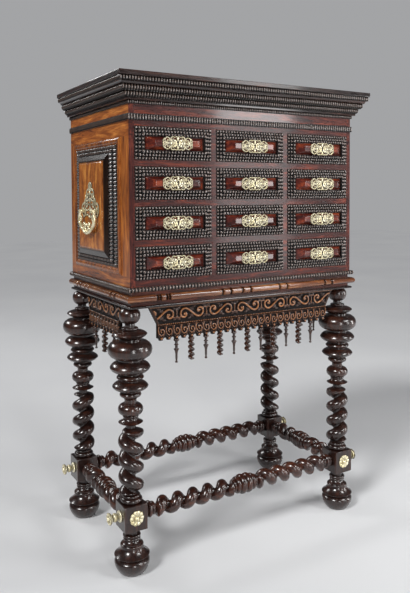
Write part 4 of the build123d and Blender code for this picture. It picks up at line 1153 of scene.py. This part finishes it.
bell_strokes = [
    (curve((3, 90), (10, 87), (13, 79), (9, 72), (4, 75), (5, 80)), 3.5),
    (curve((4, 66), (16, 70), (29, 63), (32, 51), (25, 43), (17, 46), (17, 53), (22, 54)), 4.1),
    (curve((28, 44), (38, 40), (46, 33), (50, 24), (60, 24), (70, 17), (72, 5), (66, -9), (56, -17),
           (47, -14), (46, -7), (52, -3)), 4.5),
    (curve((2, 40), (10, 38), (20, 33), (33, 34), (38, 25), (33, 15), (24, 15), (22, 22), (28, 25)), 3.8),
    (curve((2, 8), (12, 6), (22, 3), (34, 4), (44, 10), (48, 17)), 3.6),
    (curve((2, -19), (12, -17), (22, -11), (30, -13), (37, -10), (40, -2), (46, 6)), 3.6),
    (curve((0, 92), (0, 40), (0, -20)), 3.6),
]
bell_rounds = [(0, 87, 6), (0, 60, 8), (0, 34, 7), (0, 8, 9), (0, -16, 6), (51.5, 0, 8.5), (34, 48, 4),
               (61, 8, 6), (12, 22, 4), (9, 54, 4)]
bell_shape = relief((-77, -24), (77, 95), 1.0, *scrollwork(bell_strokes, bell_rounds), 0)
ear_stem = chamfered_block((-4, -5, 1), (4, 5, 9), 1.2)
knuckle = lathe([(2.6, -4.4), (5.2, -4.4), (6.2, -3), (6.0, 0), (6.2, 3), (5.2, 4.4), (2.6, 4.4)], 28)
ear_shape = joined(ear_stem, moved(knuckle, (0, 0, STANDOFF), (2, 0, 1)))
pin_shape = lathe([(3.2, 1.6), (3.0, 2.8), (2.0, 3.7), (0.4, 4.1)], 20)
PLATE_PINS = ((0, 60), (-61, 8), (61, 8), (0, -16), (-34, 48), (34, 48))
plate_x = HALF_WIDTH + PANEL_RISE
for hand, side in SIDES:
    stand = facing((hand * plate_x, FRAME_Y, PIVOT_Z), (hand, 0, 0))
    piece(f"handle_plate_{side}", bell_shape, brass, node=["brass_mounts"],
          place=stand, smooth=60)
    ears = zip(("front", "back")[::hand], (-EAR_PLACE, EAR_PLACE))
    fixings = [(f"ear_{side}_{end}", ear_shape, (across, 0, PLATE_THICK)) for end, across in ears]
    fixings += [(f"pin_{side}_{n + 1}", pin_shape, (*spot, 0.6)) for n, spot in enumerate(PLATE_PINS)]
    for name, shape, spot in fixings:
        piece(f"handle_{name}", shape, brass, node=["brass_mounts"],
              place=stand @ at(*spot))

# ------------------------------------------------------------------------------------------- bails
# Cast brass handles that swing up in the ears: two C-scrolls that curl inwards, a ring where they
# meet and a bud below it.
BAIL_DROP, PIN = 68, 2.5


def rod(line, radii, sides=14):
    """A round rod along a line of (across, above) points, its radius changing as given."""
    line = np.array(line, float)
    heading = np.gradient(line, axis=0)
    heading /= np.linalg.norm(heading, axis=1)[:, None]
    across = np.stack([-heading[:, 1], heading[:, 0]], axis=1)
    angle = np.linspace(0, 2 * math.pi, sides, endpoint=False)
    radii = np.interp(np.linspace(0, 1, len(line)), np.linspace(0, 1, len(radii)), radii)
    flat = line[:, None, :] + across[:, None, :] * (radii[:, None] * np.cos(angle))[:, :, None]
    points, faces = grid(np.dstack([flat, radii[:, None] * np.sin(angle)]))
    last = (len(line) - 1) * sides
    points, faces = welded(points, faces + [list(range(sides)), list(range(last, last + sides))])
    return points[:, :3], faces


outer_scroll = curve((62, 1), (63, -10), (66, -22), (63, -36), (53, -47), (40, -55), (26, -57), (16, -50),
                     (17, -40), (25, -38), (28, -44))
lower_scroll = curve((44, -52), (34, -60), (22, -65), (10, -67), (0, -68))
curl = curve((60, -32), (52, -28), (50, -20), (55, -16), (58, -20))
halves = []
for mirror in (1, -1):
    for line, radii in (
        (outer_scroll, (4.4, 5.2, 6.2, 6.0, 5.4, 4.7, 4.0, 3.6, 4.2)),
        (lower_scroll, (3.2, 4.4, 5.0, 5.5, 6.2)),
        (curl, (3.8, 3.4, 2.9, 3.8)),
    ):
        halves.append(rod([(mirror * a, b) for a, b in line], radii))
    seat = (mirror * BAIL_HALF, 0, 0)
    end = lathe([(0.5, -5.4), (3.4, -4.4), (5.2, -2), (5.4, 0), (5.2, 2), (3.4, 4.4), (0.5, 5.4)], 24)
    halves.append(moved(lathe([(PIN, 0), (PIN, 19)], 20), seat, (2, 0, 1), (-mirror, 1, 1)))
    halves.append(moved(end, seat, (2, 0, 1)))
loop = [(10 * math.cos(a), -52 + 10 * math.sin(a)) for a in np.linspace(0, 2 * math.pi, 33)]
bud = [(0.4, -9), (3.4, -8), (5.6, -5), (6.8, -1), (6.9, 1.5), (5.4, 4), (5.8, 5.4), (4.2, 7), (0.4, 8)]
bud = moved(lathe(bud, 28), (0, -BAIL_DROP + 2.5, 0), (0, 2, 1), (1, 1, -1))
bail_shape = joined(*halves, rod(loop, (2.8, 2.8)), bud)
for hand, side in SIDES:
    pivot = facing((hand * (plate_x + PLATE_THICK + STANDOFF), FRAME_Y, PIVOT_Z), (hand, 0, 0))
    piece(f"bail_{side}_scrolled", bail_shape, brass, body=f"bail_{side}",
          node=[f"bail_{side}"], place=pivot)

# ----------------------------------------------------------------------------------------- cornice
# The overhanging top: a polished frieze between rippled mouldings that step out row by row, with a
# hollow under the top row and a flat slab over all. Mitred at the front corners, cut off flush at
# the back.
SLAB_TOP, SLAB_REACH = 1478.5, 49
LOW_ROW, FRIEZE_LOW, BEAD_ROW = (1345.5, 1363.5, 6), 1363.5, (1391.5, 1401.5, 6)
PLAIN_STEP = (1401.5, 1408.5, 13)
WIDE_ROWS = ((1408.5, 1424.5, 22), (1424.5, 1441.5, 33))
COVE, TOP_ROW = (1441.5, 1450.5, 35, 44), (1450.5, 1464.5, 46.5)


def rounded_row(low, high, reach, back, bulge):
    """The section of a row whose face swells between its lower and upper edge."""
    t = np.linspace(0, 1, 9)
    round_off = [1 - math.sin(math.pi * (0.08 + 0.84 * k)) ** 0.7 for k in t]
    # The third number paints shade on the rounded-off edges of the row.
    face = [(reach - bulge * r, low + (high - low) * k, r) for k, r in zip(t, round_off)]
    return [(back, low)] + face + [(back, high)]


def ogee_row(low, high, reach, back):
    """The section of a wide row: a small lip, a full round, and a flat under the next row."""
    rise = high - low
    # The third numbers paint shade round the lip and on the flat under the next row.
    face = [(6.2, 0.0, 0.5), (5.4, 0.07, 0.2), (5.6, 0.14, 0.6), (2.6, 0.22, 0.3), (0.7, 0.38, 0),
            (0, 0.58, 0), (0.5, 0.78, 0), (2.2, 0.93, 0.3), (3.4, 1.0, 0.6)]
    return [(back, low)] + [(reach - r, low + rise * k, h) for r, k, h in face] + [(back, high)]


inner = HALF_WIDTH - CARCASS_SIDE
frieze = chamfered_block((-inner, FRONT_Y - 0.3, FRIEZE_LOW - 8), (inner, FRONT_Y + 20, SLAB_BOTTOM), 0.5)
low, high, reach = PLAIN_STEP
step = [(0, low), (reach - 1.5, low), (reach - 0.4, low + 0.6), (reach, low + 2),
        (reach, high - 1), (reach - 1, high), (0, high)]
low, high, near, far = COVE
hollow = [(near + (far - near) * (1 - math.cos(a)), low + (high - low) * math.sin(a))
          for a in np.linspace(0.12, math.pi / 2, 8)]
cove = [(20, low), (near - 3, low)] + hollow + [(20, high)]
slab_low = (-HALF_WIDTH - SLAB_REACH, FRONT_Y - SLAB_REACH, SLAB_BOTTOM)
slab = chamfered_block(slab_low, (HALF_WIDTH + SLAB_REACH, BACK_Y, SLAB_TOP), 2.0, 3)
top_wood = wood("top_wood", (14, 7, 6), (32, 15, 11), (66, 34, 22), 0, 0.3, 0.03, coat=0.6)
frieze_wood = wood("frieze_wood", (30, 10, 9), (66, 24, 18), (120, 52, 32), 0, 0.3, 0.02, coat=1.0)
CORNICE = {
    "low_row": (rippled_sides(rounded_row(*LOW_ROW, 0, 2.0), 9, 2.6), ebony),
    "frieze": (frieze, frieze_wood),
    "bead_row": (rippled_sides(rounded_row(*BEAD_ROW, 0, 2.6), 7, 2.2), ebony),
    "step": (straight_sides(step), dark_moulded),
    "wide_row_low": (rippled_sides(ogee_row(*WIDE_ROWS[0], 0), 8.8, 3.0), ebony),
    "wide_row_high": (rippled_sides(ogee_row(*WIDE_ROWS[1], 0), 8.8, 3.0), ebony),
    "cove": (straight_sides(cove), dark_moulded),
    "top_row": (rippled_sides(rounded_row(*TOP_ROW, 20, 3.0), 9, 3.0), ebony),
    "slab": (slab, top_wood),
}
for name, (shape, finish) in CORNICE.items():
    piece(f"cornice_{name}", shape, finish, node=["cornice"])

# ----------------------------------------------------------------------------------------- drawers
# Twelve alike, in four rows of three. Each front is a frame of three rippled strips round a hipped
# block, with a pierced brass plate over its keyhole and an iron lock behind it.
COLUMNS, ROWS, FRONT_LONG, FRONT_TALL, FRONT_THICK = 3, 4, 257, 97.5, 18
COLUMN_PITCH, ROW_PITCH = 275, 117
FIRST_LEFT, FIRST_LOW = -HALF_WIDTH + CARCASS_SIDE + 0.5, CELLS_BOTTOM + 0.3
STRIP, STRIP_RISE, FIRST_STRIP, BLOCK_RISE = 9.3, 3.5, 4, 24
BLOCK_BASE, BLOCK_SLOPES, BLOCK_EDGE = (191.2, 37.7), (24, 11), 4


def drawer_finish():
    """Plain wood with a front board stained dark."""
    material, shader, place = blank_finish("drawer_wood")
    fibres = place.stretched(1, 0.07)
    lines = fibres.clouds(0.003, 3.0)
    inside = fibres.clouds(0.03, 3.0, 1.6) * 0.6 + lines * 0.4
    inside = inside.toned((100, 64, 38), (140, 96, 58), (176, 130, 84))
    across = place.stretched(0, 0.1).clouds(0.003, 3.0)
    front = across.toned((34, 13, 9), (72, 30, 20), stops=(0.35, 0.65))
    depth = place.through("ShaderNodeSeparateXYZ", {}, {0: place}, 1)
    stained = depth.over((FRONT_Y + FRONT_THICK + 0.4) * MM, (FRONT_Y + FRONT_THICK - 0.4) * MM)
    feed(
        shader,
        Base_Color=stained.toward(inside, front),
        Roughness=stained * -0.25 + 0.6,
        Normal=raised(lines, 0.0003, 0.3),
    )
    return material


def iron_finish():
    """Blackened iron, filed a little brighter in streaks."""
    material, shader, place = blank_finish("lock_iron")
    streaks = place.stretched(2, 0.2).clouds(0.004, 3.0)
    feed(
        shader,
        Base_Color=streaks.toned((38, 35, 33), (92, 86, 80), stops=(0.35, 0.7)),
        Metallic=0.8,
        Roughness=streaks * 0.25 + 0.4,
        Normal=raised(place.clouds(0.0015, 2.0), 0.0003, 0.4),
    )
    return material


block_wood = figured("block_wood", (36, 10, 8), (78, 26, 18), (134, 58, 32), 0, coat=1.0)
drawer_wood, iron = drawer_finish(), iron_finish()
face_section = [(0, 0)]
for number in range(3):
    high = FIRST_STRIP + number * STRIP_RISE
    face_section += strip(number * STRIP, STRIP, high, high, 1.9)
face_section.append((3 * STRIP, 0))
face_shape = ring(FRONT_LONG, FRONT_TALL, face_section, pitch=10.28, depth=2.9, samples=8)
block_long, block_tall = BLOCK_BASE
slope_long, slope_tall = BLOCK_SLOPES
block_shape = stepped(
    [(block_long, block_tall, 0), (block_long, block_tall, BLOCK_EDGE),
     (block_long - 2 * slope_long, block_tall - 2 * slope_tall, BLOCK_RISE)], 0.9)

plate_strokes = [
    (curve((0, 17), (6, 19), (11, 17), (15, 19), (20, 18), (23, 14), (21, 9), (17, 9), (16, 13)), 2.3),
    (curve((14, 3), (19, 5), (24, 8), (28, 14), (34, 17), (40, 15), (43, 10), (40, 5), (35, 6),
           (34, 10)), 2.3),
    (curve((28, 0), (33, 2), (39, 1), (45, 4), (48.5, 0)), 2.3),
    (curve((25, 2), (28, 7), (26, 12), (29, 16)), 1.6),
    (curve((40, 15), (46, 12), (48.5, 7), (47, 3)), 2.0),
]
mirrored = [([(a, -b) for a, b in line], half) for line, half in plate_strokes]
plate_rounds = [(0, 0, 10.5), (0, 13, 4.6), (0, -13, 4.6), (10.5, 8, 4.6), (10.5, -8, 4.6), (13, 0, 4.4),
                (0, 19, 2.5), (0, -19, 2.5), (22, 0, 4.6), (30, 9, 2.6), (30, -9, 2.6), (38.5, 0, 3.2)]


def keyhole(u, v):
    """How far outside the keyhole a place is."""
    slot = np.hypot(u, v - np.clip(v, -4.6, 3.0))
    return np.minimum(slot - 1.5, np.hypot(u, v - 3.2) - 2.7)


plate_work = scrollwork(plate_strokes + mirrored, plate_rounds, keyhole)
plate_shape = relief((-51, -21.5), (51, 21.5), 0.7, *plate_work, 0)
rivet = lathe([(0.3, -11.3), (2.2, -10.9), (2.4, -10)], 16)
lock_shape = joined(
    chamfered_block((-26, -23, -10), (26, 23, -8.6), 0.5),
    chamfered_block((-21, -18, -10), (21, 18, 0), 1.2),
    chamfered_block((-8, 17, -7), (8, 23, -3), 0.6),
    *[moved(rivet, (a * 22, b * 19, 0)) for a in (-1, 1) for b in (-1, 1)],
)
well_shape = chamfered_block((-3, -6.3, -1.2), (3, 6.0, 0.25), 0.1)
for row in range(ROWS):
    for column in range(COLUMNS):
        name = f"drawer_r{row + 1}c{column + 1}"
        finish_node(f"{name}_box", drawer_wood)
        middle = FIRST_LEFT + column * COLUMN_PITCH + FRONT_LONG / 2
        height = FIRST_LOW + (ROWS - 1 - row) * ROW_PITCH + FRONT_TALL / 2
        stand, plate_seat, lock_seat = (facing((middle, FRONT_Y + back, height), (0, -1, 0))
                                        for back in (0, -BLOCK_RISE, FRONT_THICK))
        block = moved(block_shape, (middle, FRONT_Y, height), (0, 2, 1), (1, -1, 1))
        for part, shape, finish, seat, slot, node in (
            ("ripples", face_shape, ebony, stand, "dark_wood", "face"),
            ("block", block, block_wood, None, "dark_wood", "face"),
            ("plate", plate_shape, brass, plate_seat, "gilt_brass", "lock"),
            ("keyhole", well_shape, iron, plate_seat, "gilt_brass", "lock"),
            ("lock_iron", lock_shape, iron, lock_seat, "gilt_brass", "lock"),
        ):
            piece(f"{name}_{part}", shape, finish, body=name, node=[f"{name}_{node}"],
                  place=seat, smooth=50)

bpy.context.view_layer.update()
